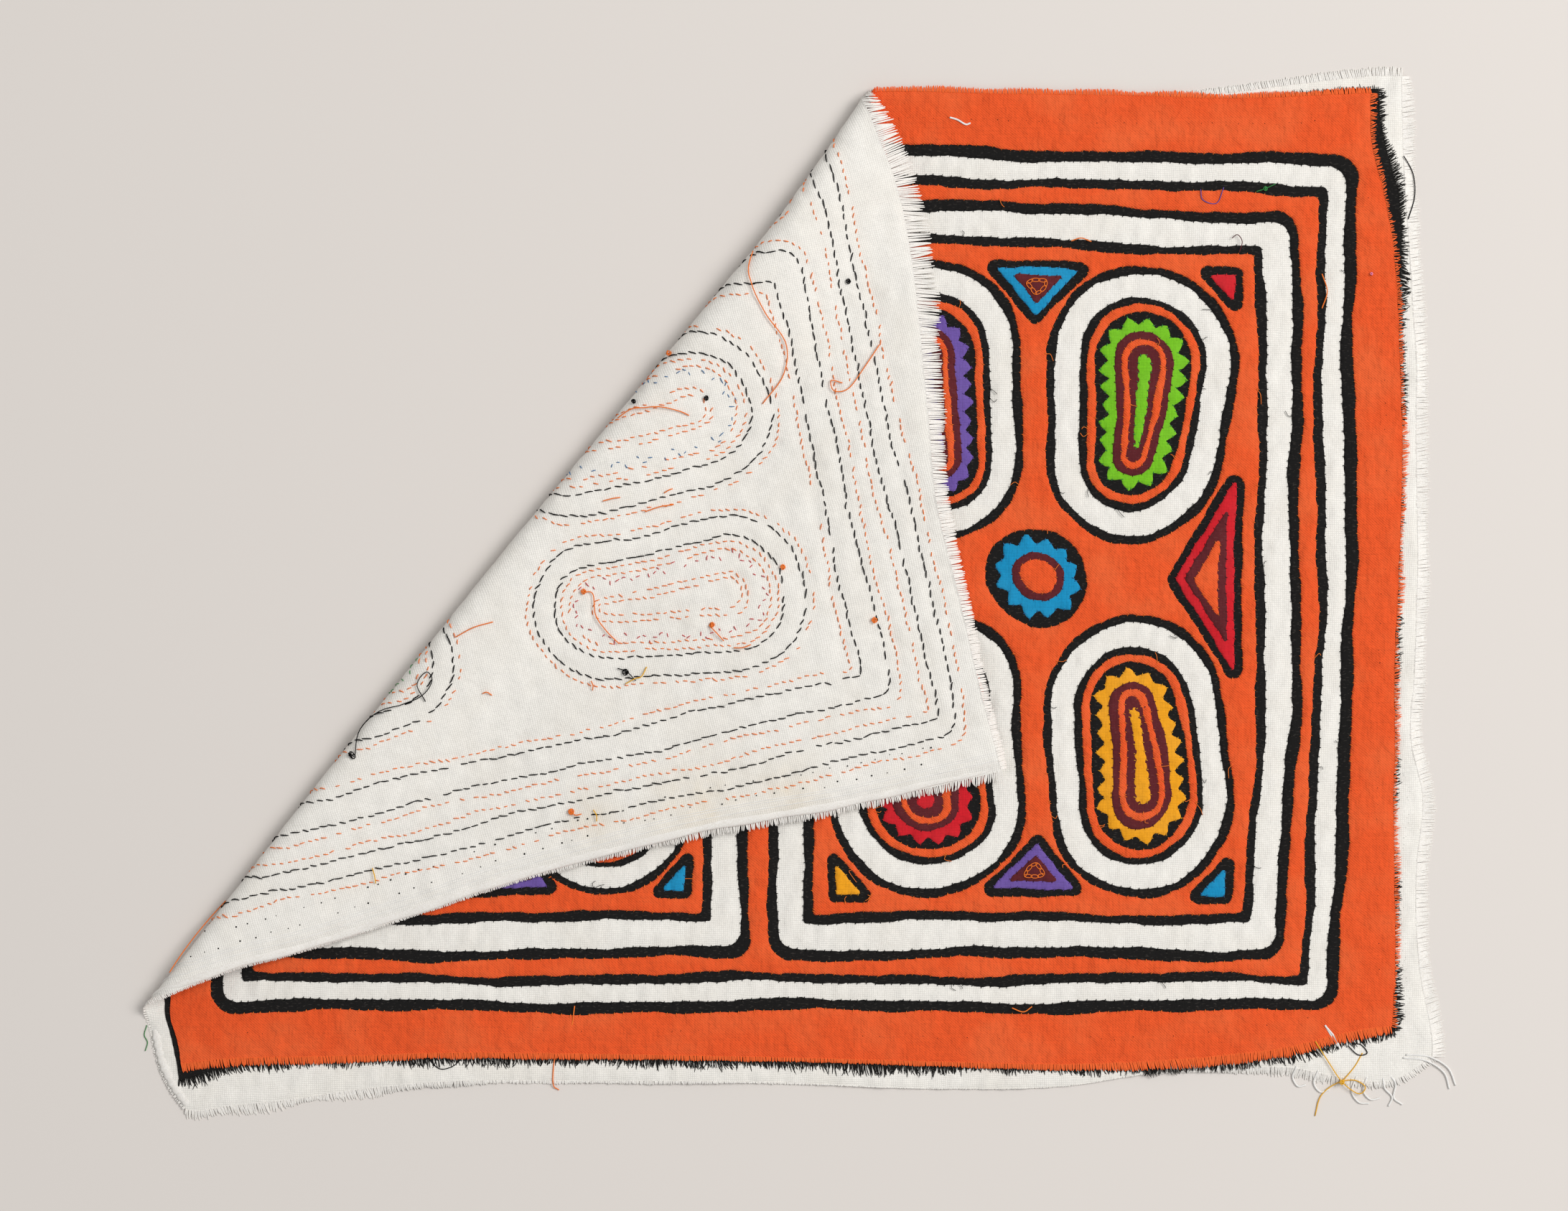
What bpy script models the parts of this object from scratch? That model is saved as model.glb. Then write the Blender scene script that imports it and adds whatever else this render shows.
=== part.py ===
"""A mola panel lying face up with one corner folded over.

Three layers of cotton are cut flat and stacked: an ivory ground cloth, black pieces on it, and
orange pieces on those, so that black outlines and ivory channels show between the orange. The
stack is then turned over along a slanting line, and the flap shows the ground cloth's back.

Every piece is drawn flat, in millimetres, with u to the right and v away from the viewer, and w
is the height above the ground cloth's back. fold() carries a flat point to its place.
"""

import math

import bmesh
import bpy
import numpy as np

MM = 0.001

# The stack, in millimetres
CLOTH = 1.0
LAYER_GAP = 0.3
GROUND_LOW = 0.0
BLACK_LOW = GROUND_LOW + CLOTH + LAYER_GAP
ORANGE_LOW = BLACK_LOW + CLOTH + LAYER_GAP
STACK = ORANGE_LOW + CLOTH
FLAP_GAP = 0.6
FLAP_TOP = 2 * STACK + FLAP_GAP

# The middle of the finished panel's box, which is the part's origin
ORIGIN = np.array([0.019, 0.092])

# The fold runs from the panel's top edge down to its left edge
FOLD_TOP = np.array([26.5, 174.25])
FOLD_FOOT = np.array([-222.25, -141.0])
FOLD_ALONG = (FOLD_FOOT - FOLD_TOP) / np.linalg.norm(FOLD_FOOT - FOLD_TOP)
FOLD_ACROSS = np.array([-FOLD_ALONG[1], FOLD_ALONG[0]])

# Along the fold, the height of its loop and how far its crease wanders inward
FOLD_ROWS = (
    # along, loop height, wander
    (-40.0, 8.6, 0.3),
    (0.0, 9.0, 0.4),
    (25.0, 11.0, 1.6),
    (56.0, 13.5, 2.4),
    (92.0, 13.2, 1.9),
    (140.0, 12.0, 1.2),
    (180.0, 11.2, 0.3),
    (240.0, 10.6, -0.4),
    (320.0, 10.2, -0.7),
    (370.0, 9.6, 0.0),
    (401.0, 9.0, 0.3),
    (440.0, 8.6, 0.3),
)
LOOP_FADE = 38.0

# Each side's edges, as the raw cuts of the three cloths wander
BOTTOM_EDGE = (
    # u, ground v, black v, orange v
    (-216.0, -178.0, -170.0, -164.5),
    (-209.0, -180.1, -168.5, -163.5),
    (-195.0, -178.4, -164.4, -162.0),
    (-175.0, -176.4, -162.6, -161.5),
    (-150.0, -172.8, -162.2, -161.0),
    (-125.0, -170.2, -161.2, -160.0),
    (-75.0, -169.8, -161.8, -160.3),
    (0.0, -170.4, -163.0, -161.6),
    (50.0, -172.4, -164.6, -163.0),
    (100.0, -171.0, -165.2, -163.9),
    (125.0, -166.9, -164.4, -163.0),
    (150.0, -165.6, -162.6, -161.0),
    (175.0, -165.2, -159.6, -157.6),
    (190.0, -168.2, -155.4, -153.8),
    (212.0, -168.6, -152.0, -150.5),
    (223.4, -161.0, -151.6, -150.2),
)
RIGHT_EDGE = (
    # v, ground u, black u, orange u
    (-170.0, 222.0, 209.0, 208.8),
    (-158.0, 223.4, 210.0, 209.0),
    (-148.0, 222.2, 210.4, 209.4),
    (-136.0, 219.8, 209.6, 210.1),
    (-94.0, 218.0, 208.8, 210.0),
    (-72.0, 220.2, 208.8, 209.8),
    (-50.0, 215.8, 209.0, 210.2),
    (-30.0, 217.0, 209.0, 210.0),
    (6.0, 218.2, 210.2, 211.5),
    (56.0, 217.8, 211.4, 212.8),
    (80.0, 217.8, 211.0, 211.9),
    (106.0, 216.2, 211.8, 210.8),
    (125.0, 215.0, 212.6, 208.8),
    (140.0, 213.8, 211.2, 206.0),
    (156.0, 213.2, 206.8, 202.2),
    (175.0, 212.8, 204.4, 201.8),
    (182.0, 212.6, 204.2, 201.8),
)
TOP_EDGE = (
    # u, ground v, black v, orange v
    (-218.0, 164.0, 161.0, 160.0),
    (-190.0, 162.8, 161.2, 160.4),
    (-150.0, 162.6, 161.2, 160.6),
    (-113.0, 162.4, 161.8, 161.6),
    (-88.0, 165.6, 163.2, 163.0),
    (-68.0, 168.0, 165.4, 165.2),
    (-50.0, 170.6, 167.6, 167.4),
    (-28.0, 173.6, 170.0, 170.2),
    (-5.0, 174.8, 172.0, 172.4),
    (15.0, 172.6, 172.4, 173.4),
    (30.0, 171.6, 172.4, 174.4),
    (75.0, 171.4, 172.0, 173.8),
    (125.0, 171.6, 171.8, 173.0),
    (150.0, 173.8, 171.6, 172.2),
    (175.0, 177.0, 173.4, 172.8),
    (190.0, 178.8, 175.0, 173.6),
    (206.0, 180.1, 175.4, 174.2),
    (214.0, 180.0, 175.2, 174.2),
)
LEFT_EDGE = (
    # v, ground u, black u, orange u
    (-182.0, -208.6, -211.0, -210.6),
    (-174.0, -214.6, -212.0, -211.2),
    (-166.0, -218.8, -213.2, -211.4),
    (-156.0, -221.6, -215.2, -213.2),
    (-144.0, -223.4, -217.6, -215.8),
    (-135.0, -221.6, -217.0, -214.6),
    (-112.0, -218.6, -213.4, -211.2),
    (-84.0, -218.4, -211.6, -209.4),
    (-43.0, -216.0, -208.8, -206.6),
    (-12.0, -213.2, -206.4, -204.2),
    (30.0, -211.2, -205.2, -203.2),
    (58.0, -210.8, -205.2, -203.4),
    (108.0, -213.2, -206.8, -204.6),
    (170.0, -212.6, -206.4, -204.2),
)
GROUND, BLACK, ORANGE = 1, 2, 3
CORNER_GUESSES = ((-204.0, -156.0), (204.0, -156.0), (204.0, 174.0), (-204.0, 168.0))

# The border's channels, as boxes before the hand's wander: left, bottom, right, top, corner
BORDER_HOLE_ORANGE = (-201.0, -145.5, 196.4, 156.6, 8.0)
BORDER_HOLE_BLACK = (-197.2, -141.8, 192.4, 152.8, 6.0)
FRAME_BLACK = (-190.8, -135.9, 186.0, 146.4, 1.6)
FRAME_ORANGE = (-187.4, -132.7, 182.8, 143.0, 1.4)
HOLES_ORANGE = (
    (-182.0, -127.2, -14.4, 137.0, 8.0),
    (-7.2, -127.2, 177.4, 137.0, 8.0),
)
HOLES_BLACK = (
    (-178.5, -123.6, -18.0, 133.4, 6.0),
    (-3.8, -123.6, 174.0, 133.4, 6.0),
)
FIELDS_BLACK = (
    (-169.6, -114.6, -26.8, 124.8, 1.6),
    (5.0, -114.6, 165.4, 124.8, 1.6),
)
FIELDS_ORANGE = (
    (-166.4, -111.4, -30.0, 121.6, 1.4),
    (8.2, -111.4, 162.2, 121.6, 1.4),
)
FIELD_NAMES = ("left", "right")

# The scissors' wander: slow and quick swings, and how the far corners lean in
SWINGS = (
    # size, length of a radian along u, and along v
    (0.75, 24.0, 19.0),
    (0.35, 9.0, 8.0),
)
LOW_RIGHT_LEAN = 6.0
TOP_RIGHT_DROP = 4.5

# The frayed threads along the flap's right-hand edge
FRINGE_U = (-196.0, 18.0)
FRINGE_STRANDS = 52
FRINGE_REACH = (5.4, 7.2, 6.2, 4.6, 6.8)
FRINGE_ROOT = 0.9
FRINGE_GAP = 0.7
FRINGE_FILL = 0.66
FRINGE_SWAY = 0.25

# How finely an edge is drawn
EDGE_STEP = 14.0
CORNER_STEPS = 3

# Where cloth is cut up so that it can bend. Turns are counted from where the bend starts, with
# BEND_SCALE of them to half a circle, about one to the millimetre.
BEND_SCALE = 16.0
BEND_STEPS = 6
SETTLE_STEPS = 5
FOLD_LINES = np.arange(-60.0, 461.0, 30.0)
MIDWAY = 200.0
NEAR = 0.02
MELT = 0.0005

COLOURS = {
    # linear red, green and blue
    "ivory": (0.79, 0.76, 0.69),
    "black": (0.012, 0.012, 0.013),
    "orange": (0.80, 0.11, 0.022),
}


def clear_scene():
    for obj in list(bpy.data.objects):
        bpy.data.objects.remove(obj, do_unlink=True)


def cotton(name):
    """A dull woven finish in one of the named colours."""
    material = bpy.data.materials.new(name + "_cotton")
    material.use_nodes = True
    shader = material.node_tree.nodes["Principled BSDF"]
    shader.inputs["Base Color"].default_value = (*COLOURS[name], 1.0)
    shader.inputs["Roughness"].default_value = 0.9
    shader.inputs["Metallic"].default_value = 0.0
    return material


def ramp(value, start, end):
    """0 before start, 1 after end, and a smooth rise between them."""
    t = np.clip((value - start) / (end - start), 0.0, 1.0)
    return t * t * (3 - 2 * t)


def through(rows, column, at):
    """A smooth curve through one column of a table, read at the places given."""
    table = np.array(rows)
    x, y = table[:, 0], table[:, column]
    slope = np.gradient(y, x)
    at = np.clip(at, x[0], x[-1])
    i = np.clip(np.searchsorted(x, at) - 1, 0, len(x) - 2)
    step = x[i + 1] - x[i]
    t = (at - x[i]) / step
    rise = y[i] * (1 + 2 * t) * (1 - t) ** 2 + y[i + 1] * t * t * (3 - 2 * t)
    return rise + step * (slope[i] * t * (1 - t) ** 2 - slope[i + 1] * t * t * (1 - t))


def fold_row(column, along):
    """One column of the fold's table, straight between the lines at which cloth is cut up."""
    return np.interp(along, FOLD_LINES, through(FOLD_ROWS, column, FOLD_LINES))


def loop_radius(along):
    return fold_row(1, along) / 2


def bend_radius(along):
    """The radius at which the middle of the stack turns."""
    return loop_radius(along) - STACK / 2


def bend_start(along):
    """How far inside the crease's straight line the cloth leaves the ground."""
    return math.pi * bend_radius(along) / 2 + fold_row(2, along)


def to_fold(points):
    """Flat points as distance along the fold, and turn: below 0 on the flap's side of where the
    bend starts, and at -BEND_SCALE where it ends."""
    offset = np.asarray(points) - FOLD_TOP
    along = offset @ FOLD_ALONG
    turn = (offset @ FOLD_ACROSS - bend_start(along)) / (math.pi * bend_radius(along))
    return np.stack([along, turn * BEND_SCALE], axis=1)


def fold(along, turn, w):
    """Places in millimetres of points given by to_fold and their height in the stack.

    Ahead of the bend the cloth lies flat. In the bend it goes round half a circle, each layer at
    its own radius. Past it the cloth comes back upside down, and sinks from the loop's height to
    where it lies on the panel."""
    radius, middle, start = loop_radius(along), bend_radius(along), bend_start(along)
    angle = np.clip(-turn / BEND_SCALE, 0.0, 1.0) * math.pi
    ahead = np.maximum(turn, 0.0) / BEND_SCALE * math.pi * middle
    past = np.maximum(-turn - BEND_SCALE, 0.0) / BEND_SCALE * math.pi * middle

    across = start + ahead + past - (radius - w) * np.sin(angle)
    fallen = (2 * radius - FLAP_TOP) * ramp(past, 0.0, LOOP_FADE)
    height = radius - (radius - w) * np.cos(angle) - fallen
    place = FOLD_TOP + np.outer(along, FOLD_ALONG) + np.outer(across, FOLD_ACROSS)
    return np.column_stack([place - ORIGIN, height])


def wander(points, phase):
    """A hand-cut line: points of a straight design, leaning and wavering as the scissors did."""
    u, v = np.asarray(points).T
    moved_u = u - LOW_RIGHT_LEAN * ramp(u, 60.0, 190.0) * ramp(-v, 10.0, 150.0)
    moved_v = v - TOP_RIGHT_DROP * ramp(u, 0.0, 190.0) * ramp(v, 40.0, 150.0)
    for k, (size, u_length, v_length) in enumerate(SWINGS, start=1):
        moved_u += size * np.sin(v / v_length + k * phase)
        moved_v += size * np.sin(u / u_length + k * phase + 1.0)
    return np.stack([moved_u, moved_v], axis=1)


def run(start, end):
    """Places from start to end about EDGE_STEP apart, without the last one."""
    count = max(2, round(abs(end - start) / EDGE_STEP))
    return np.linspace(start, end, count, endpoint=False)


def cloth_edge(column):
    """The raw edge of one of the three cloths, anticlockwise."""

    def corner(side, end, u, v):
        """Where a side edge meets the top or bottom edge, starting from a guess."""
        for _ in range(8):
            u = through(side, column, v)
            v = through(end, column, u)
        return u, v

    low_left = corner(LEFT_EDGE, BOTTOM_EDGE, *CORNER_GUESSES[0])
    low_right = corner(RIGHT_EDGE, BOTTOM_EDGE, *CORNER_GUESSES[1])
    high_right = corner(RIGHT_EDGE, TOP_EDGE, *CORNER_GUESSES[2])
    high_left = corner(LEFT_EDGE, TOP_EDGE, *CORNER_GUESSES[3])
    u_bottom, u_top = run(low_left[0], low_right[0]), run(high_right[0], high_left[0])
    v_right, v_left = run(low_right[1], high_right[1]), run(high_left[1], low_left[1])
    return np.concatenate([
        np.stack([u_bottom, through(BOTTOM_EDGE, column, u_bottom)], axis=1),
        np.stack([through(RIGHT_EDGE, column, v_right), v_right], axis=1),
        np.stack([u_top, through(TOP_EDGE, column, u_top)], axis=1),
        np.stack([through(LEFT_EDGE, column, v_left), v_left], axis=1),
    ])


def box_edge(box, phase):
    """A round-cornered box's edge, anticlockwise, as a hand cuts it."""
    left, bottom, right, top, corner = box
    centres = (
        (right - corner, bottom + corner, -90.0),
        (right - corner, top - corner, 0.0),
        (left + corner, top - corner, 90.0),
        (left + corner, bottom + corner, 180.0),
    )
    points = []
    for k, (u, v, first) in enumerate(centres):
        for angle in np.radians(np.linspace(first, first + 90.0, CORNER_STEPS + 1)):
            points.append((u + corner * math.cos(angle), v + corner * math.sin(angle)))
        after = centres[(k + 1) % 4]
        turned = math.radians(first + 90.0)
        goal = np.array(after[:2]) + corner * np.array([math.cos(turned), math.sin(turned)])
        here = np.array(points[-1])
        count = round(np.linalg.norm(goal - here) / EDGE_STEP)
        points += [tuple(here + (goal - here) * i / count) for i in range(1, count)]
    return wander(points, phase)


def flat_solid(edges, low, high):
    """A bmesh of the cloth between its outer edge and its windows, in fold coordinates."""
    curve = bpy.data.curves.new("edges", "CURVE")
    curve.dimensions = "2D"
    curve.fill_mode = "BOTH"
    curve.extrude = (high - low) / 2
    for edge in edges:
        spline = curve.splines.new("POLY")
        spline.points.add(len(edge) - 1)
        flat = np.column_stack([to_fold(edge), np.zeros(len(edge)), np.ones(len(edge))])
        spline.points.foreach_set("co", flat.ravel())
        spline.use_cyclic_u = True
    holder = bpy.data.objects.new("edges", curve)
    mesh = bpy.data.meshes.new_from_object(holder)
    bm = bmesh.new()
    bm.from_mesh(mesh)
    bpy.data.objects.remove(holder)
    bpy.data.curves.remove(curve)
    bpy.data.meshes.remove(mesh)
    bmesh.ops.translate(bm, verts=bm.verts, vec=(0.0, 0.0, (low + high) / 2))
    bmesh.ops.remove_doubles(bm, verts=bm.verts, dist=MELT)
    return bm


def slice_up(bm):
    """Cuts the cloth into narrow strips across the bend and where it settles, and then the
    flap's side of it between the fold's lines."""
    settled = LOOP_FADE / (math.pi * bend_radius(MIDWAY)) * BEND_SCALE
    turns = -np.linspace(0.0, BEND_SCALE, BEND_STEPS + 1)
    turns = np.append(turns, -BEND_SCALE - np.linspace(0.0, settled, SETTLE_STEPS + 1)[1:])
    for turn in turns:
        whole = bm.verts[:] + bm.edges[:] + bm.faces[:]
        bmesh.ops.bisect_plane(
            bm, geom=whole, dist=NEAR, plane_co=(0.0, turn, 0.0), plane_no=(0.0, 1.0, 0.0)
        )
    for along in FOLD_LINES:
        faces = [f for f in bm.faces if f.calc_center_median().y < 0]
        edges = {e for f in faces for e in f.edges}
        verts = {v for f in faces for v in f.verts}
        flap = list(verts) + list(edges) + faces
        bmesh.ops.bisect_plane(
            bm, geom=flap, dist=NEAR, plane_co=(along, 0.0, 0.0), plane_no=(1.0, 0.0, 0.0)
        )


def cut_cloth(name, colour, low, edges):
    """One cut piece of cloth, folded with the panel."""
    bm = flat_solid(edges, low, low + CLOTH)
    slice_up(bm)
    bmesh.ops.recalc_face_normals(bm, faces=bm.faces)
    bmesh.ops.triangulate(bm, faces=bm.faces)
    co = np.array([v.co for v in bm.verts])
    for vert, place in zip(bm.verts, fold(co[:, 0], co[:, 1], co[:, 2]) * MM):
        vert.co = place
    mesh = bpy.data.meshes.new(name)
    bm.to_mesh(mesh)
    bm.free()
    mesh.materials.append(MATERIALS[colour])
    obj = bpy.data.objects.new(name, mesh)
    bpy.context.scene.collection.objects.link(obj)
    return obj


def fringe_edge():
    """The comb of frayed threads beyond the ground cloth's cut top edge, on the flap."""
    start, end = FRINGE_U
    pitch = (end - start) / FRINGE_STRANDS
    strand = pitch * FRINGE_FILL
    u, up = [], []
    for k in range(FRINGE_STRANDS):
        left = start + k * pitch
        sway = FRINGE_SWAY * math.sin(k * 1.9)
        reach = FRINGE_REACH[k % len(FRINGE_REACH)] + FRINGE_ROOT
        u += [left, left + sway, left + sway + strand, left + strand]
        up += [FRINGE_ROOT, reach, reach, FRINGE_ROOT]
    spine = np.linspace(u[-1], start, round((end - start) / EDGE_STEP))
    u, up = np.append(u, spine), np.append(up, 0.0 * spine)
    edge = np.stack([u, through(TOP_EDGE, GROUND, u) + FRINGE_GAP + up], axis=1)
    return edge[::-1]


clear_scene()
MATERIALS = {name: cotton(name) for name in COLOURS}

# The ground cloth, and its frayed edge
cut_cloth("ground_cloth", "ivory", GROUND_LOW, [cloth_edge(GROUND)])
cut_cloth("ground_fringe", "ivory", GROUND_LOW, [fringe_edge()])

# The border: an orange margin on a black one that shows as its outline
black_border = [cloth_edge(BLACK), box_edge(BORDER_HOLE_BLACK, 0.4)]
orange_border = [cloth_edge(ORANGE), box_edge(BORDER_HOLE_ORANGE, 0.0)]
cut_cloth("black_border", "black", BLACK_LOW, black_border)
cut_cloth("orange_border", "orange", ORANGE_LOW, orange_border)

# The frame between the two ivory channels, with one window for each field
black_windows = [box_edge(box, 2.1 + k) for k, box in enumerate(HOLES_BLACK)]
orange_windows = [box_edge(box, 2.6 + k) for k, box in enumerate(HOLES_ORANGE)]
cut_cloth("black_frame", "black", BLACK_LOW, [box_edge(FRAME_BLACK, 1.0), *black_windows])
cut_cloth("orange_frame", "orange", ORANGE_LOW, [box_edge(FRAME_ORANGE, 1.4), *orange_windows])

# The two fields
for k, side in enumerate(FIELD_NAMES):
    cut_cloth("black_field_" + side, "black", BLACK_LOW, [box_edge(FIELDS_BLACK[k], 3.1 + k)])
    cut_cloth("orange_field_" + side, "orange", ORANGE_LOW, [box_edge(FIELDS_ORANGE[k], 3.5 + k)])
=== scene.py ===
"""The looks of a mola: a reverse applique panel of cotton with one corner folded over.

Every piece is drawn flat, in millimetres, with u to the right and v away from the viewer, and w is
the height above the ground cloth's back. lay() carries flat points to their place: flat on the
table, round the fold, or face down on the flap. Loops are closed rows of flat points, counted
anticlockwise. Sizes are in millimetres.
"""

import math

import bpy
import numpy as np
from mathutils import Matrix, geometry, kdtree


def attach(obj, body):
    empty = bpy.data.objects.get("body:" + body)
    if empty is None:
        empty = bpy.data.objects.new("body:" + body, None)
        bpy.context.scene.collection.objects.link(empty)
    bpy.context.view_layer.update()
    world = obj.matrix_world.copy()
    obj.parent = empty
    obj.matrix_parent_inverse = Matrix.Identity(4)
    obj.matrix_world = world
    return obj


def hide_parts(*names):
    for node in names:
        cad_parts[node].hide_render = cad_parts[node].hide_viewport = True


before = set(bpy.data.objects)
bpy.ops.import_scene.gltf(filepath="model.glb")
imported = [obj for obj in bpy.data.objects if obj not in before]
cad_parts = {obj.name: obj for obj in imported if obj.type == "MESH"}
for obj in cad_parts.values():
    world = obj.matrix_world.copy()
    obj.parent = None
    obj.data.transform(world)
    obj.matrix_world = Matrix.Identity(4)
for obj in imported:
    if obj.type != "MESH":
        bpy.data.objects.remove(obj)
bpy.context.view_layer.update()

MM = 0.001
ROOT = "root"
ORIGIN = np.array([0.019, 0.092])  # the middle of the panel's box, as in the part

# The fold, as in the part
STACK = 3.6
FOLD_TOP, FOLD_FOOT = np.array([26.5, 174.25]), np.array([-222.25, -141.0])
FOLD_ALONG = (FOLD_FOOT - FOLD_TOP) / np.linalg.norm(FOLD_FOOT - FOLD_TOP)
FOLD_ACROSS = np.array([-FOLD_ALONG[1], FOLD_ALONG[0]])
# Rows of along, loop height, wander
FOLD_ROWS = (
    (-40, 8.6, 0.3), (0, 9, 0.4), (25, 11, 1.6), (56, 13.5, 2.4), (92, 13.2, 1.9), (140, 12, 1.2),
    (180, 11.2, 0.3), (240, 10.6, -0.4), (320, 10.2, -0.7), (370, 9.6, 0), (401, 9, 0.3),
    (440, 8.6, 0.3),
)
# Past the fold the flap sinks over LOOP_FADE. The real cloths lie closer than the part's thick
# sheets, so it rests at FLAP_TOP, and its bare margin lower by MARGIN_DROP
LOOP_FADE, FLAP_TOP, MARGIN_DROP, MARGIN_RUN = 38.0, 5.0, 1.5, 7.0

# The raw cuts of the three cloths, as in the part. Rows of u, or v on the left and right sides,
# and the ground, black and orange cloth's edge there
BOTTOM_EDGE = (
    (-216, -178, -170, -164.5), (-209, -180.1, -168.5, -163.5), (-195, -178.4, -164.4, -162),
    (-175, -176.4, -162.6, -161.5), (-150, -172.8, -162.2, -161), (-125, -170.2, -161.2, -160),
    (-75, -169.8, -161.8, -160.3), (0, -170.4, -163, -161.6), (50, -172.4, -164.6, -163),
    (100, -171, -165.2, -163.9), (125, -166.9, -164.4, -163), (150, -165.6, -162.6, -161),
    (175, -165.2, -159.6, -157.6), (190, -168.2, -155.4, -153.8), (212, -168.6, -152, -150.5),
    (223.4, -161, -151.6, -150.2),
)
RIGHT_EDGE = (
    (-170, 222, 209, 208.8), (-158, 223.4, 210, 209), (-148, 222.2, 210.4, 209.4),
    (-136, 219.8, 209.6, 210.1), (-94, 218, 208.8, 210), (-72, 220.2, 208.8, 209.8),
    (-50, 215.8, 209, 210.2), (-30, 217, 209, 210), (6, 218.2, 210.2, 211.5),
    (56, 217.8, 211.4, 212.8), (80, 217.8, 211, 211.9), (106, 216.2, 211.8, 210.8),
    (125, 215, 212.6, 208.8), (140, 213.8, 211.2, 206), (156, 213.2, 206.8, 202.2),
    (175, 212.8, 204.4, 201.8), (182, 212.6, 204.2, 201.8),
)
TOP_EDGE = (
    (-218, 164, 161, 160), (-190, 162.8, 161.2, 160.4), (-150, 162.6, 161.2, 160.6),
    (-113, 162.4, 161.8, 161.6), (-88, 165.6, 163.2, 163), (-68, 168, 165.4, 165.2),
    (-50, 170.6, 167.6, 167.4), (-28, 173.6, 170, 170.2), (-5, 174.8, 172, 172.4),
    (15, 172.6, 172.4, 173.4), (30, 171.6, 172.4, 174.4), (75, 171.4, 172, 173.8),
    (125, 171.6, 171.8, 173), (150, 173.8, 171.6, 172.2), (175, 177, 173.4, 172.8),
    (190, 178.8, 175, 173.6), (206, 180.1, 175.4, 174.2), (214, 180, 175.2, 174.2),
)
LEFT_EDGE = (
    (-182, -208.6, -211, -210.6), (-174, -214.6, -212, -211.2), (-166, -218.8, -213.2, -211.4),
    (-156, -221.6, -215.2, -213.2), (-144, -223.4, -217.6, -215.8), (-135, -221.6, -217, -214.6),
    (-112, -218.6, -213.4, -211.2), (-84, -218.4, -211.6, -209.4), (-43, -216, -208.8, -206.6),
    (-12, -213.2, -206.4, -204.2), (30, -211.2, -205.2, -203.2), (58, -210.8, -205.2, -203.4),
    (108, -213.2, -206.8, -204.6), (170, -212.6, -206.4, -204.2),
)
EDGES = (BOTTOM_EDGE, RIGHT_EDGE, TOP_EDGE, LEFT_EDGE)
BOTTOM, RIGHT, TOP, LEFT = range(4)
GROUND, BLACK, ORANGE = 1, 2, 3
CORNERS = (
    # upright side, level side, and a first guess at the height where they meet
    (LEFT_EDGE, BOTTOM_EDGE, -156.0),
    (RIGHT_EDGE, BOTTOM_EDGE, -156.0),
    (RIGHT_EDGE, TOP_EDGE, 174.0),
    (LEFT_EDGE, TOP_EDGE, 168.0),
)

# The channels' edges: cloth, phase of the wander, and the box before it, as left, bottom, right,
# top and corner radius
BANDS = {
    "border": (
        ("orange", 0.0, -201.0, -145.5, 196.4, 156.6, 8.0),
        ("black", 0.4, -197.2, -141.8, 192.4, 152.8, 6.0),
    ),
    "frame": (
        ("orange", 1.4, -187.4, -132.7, 182.8, 143.0, 1.4),
        ("black", 1.0, -190.8, -135.9, 186.0, 146.4, 1.6),
        ("orange", 2.6, -182.0, -127.2, -14.4, 137.0, 8.0),
        ("orange", 3.6, -7.2, -127.2, 177.4, 137.0, 8.0),
        ("black", 2.1, -178.5, -123.6, -18.0, 133.4, 6.0),
        ("black", 3.1, -3.8, -123.6, 174.0, 133.4, 6.0),
    ),
}
SIDES = ("left", "right")
FIELDS_BLACK = ((-169.6, -114.6, -26.8, 124.8, 1.6), (5.0, -114.6, 165.4, 124.8, 1.6))
FIELDS_ORANGE = ((-166.4, -111.4, -30.0, 121.6, 1.4), (8.2, -111.4, 162.2, 121.6, 1.4))

# The scissors' wander: slow and quick swings, each a size and the length of a radian along u and
# along v, and how far the right corners lean in
SWINGS = ((0.75, 24.0, 19.0), (0.35, 9.0, 8.0))
LOW_RIGHT_LEAN, TOP_RIGHT_DROP = 6.0, 4.5

# Heights of the cloths, low side and top, above the ground cloth's back
LEVELS = {
    "ground": (0.0, 0.45),
    "black": (0.35, 0.95),
    "orange": (0.80, 1.50),
    "island": (0.35, 1.05),
    "ring": (0.90, 1.60),
    "teeth": (0.90, 1.50),
    "maroon": (1.40, 1.95),
    "inner_ring": (1.80, 2.35),
    "seed": (1.80, 2.25),
}
STITCH = 3.1  # from one hem stitch to the next
UNDERLAP = 2.0  # how far a cloth reaches under the one above it

# A petal's two radii, its margins to the field's edge and middle, and its rings, counted inward
# from its window in the orange field, all for a field 77 mm half wide
FULL_HALF_WIDTH = 77.0
PETAL_BIG, PETAL_SMALL, PETAL_MARGIN, PETAL_RISE, PETAL_NARROWING = 33.5, 30.0, 5.5, 12.0, 4.0
PETAL_RINGS = {
    "white": 2.8,
    "island": 10.8,
    "ring": 13.2,
    "ring_hole": 16.2,
    "teeth": 20.2,
    "maroon": 22.6,
    "inner_ring": 25.2,
    "core": 27.8,
}
TOOTH, TOOTH_PITCH = 3.2, 6.3
OUTLINE = 2.5  # the black line between the field and a filler's inlay
CHAIN_INSIDE, CHAIN_LEVEL = 7.3, 2.25  # chain stitch: how far inside a filler, and its height
LINK_LENGTH, LINK_WIDTH = 2.3, 1.2

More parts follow.
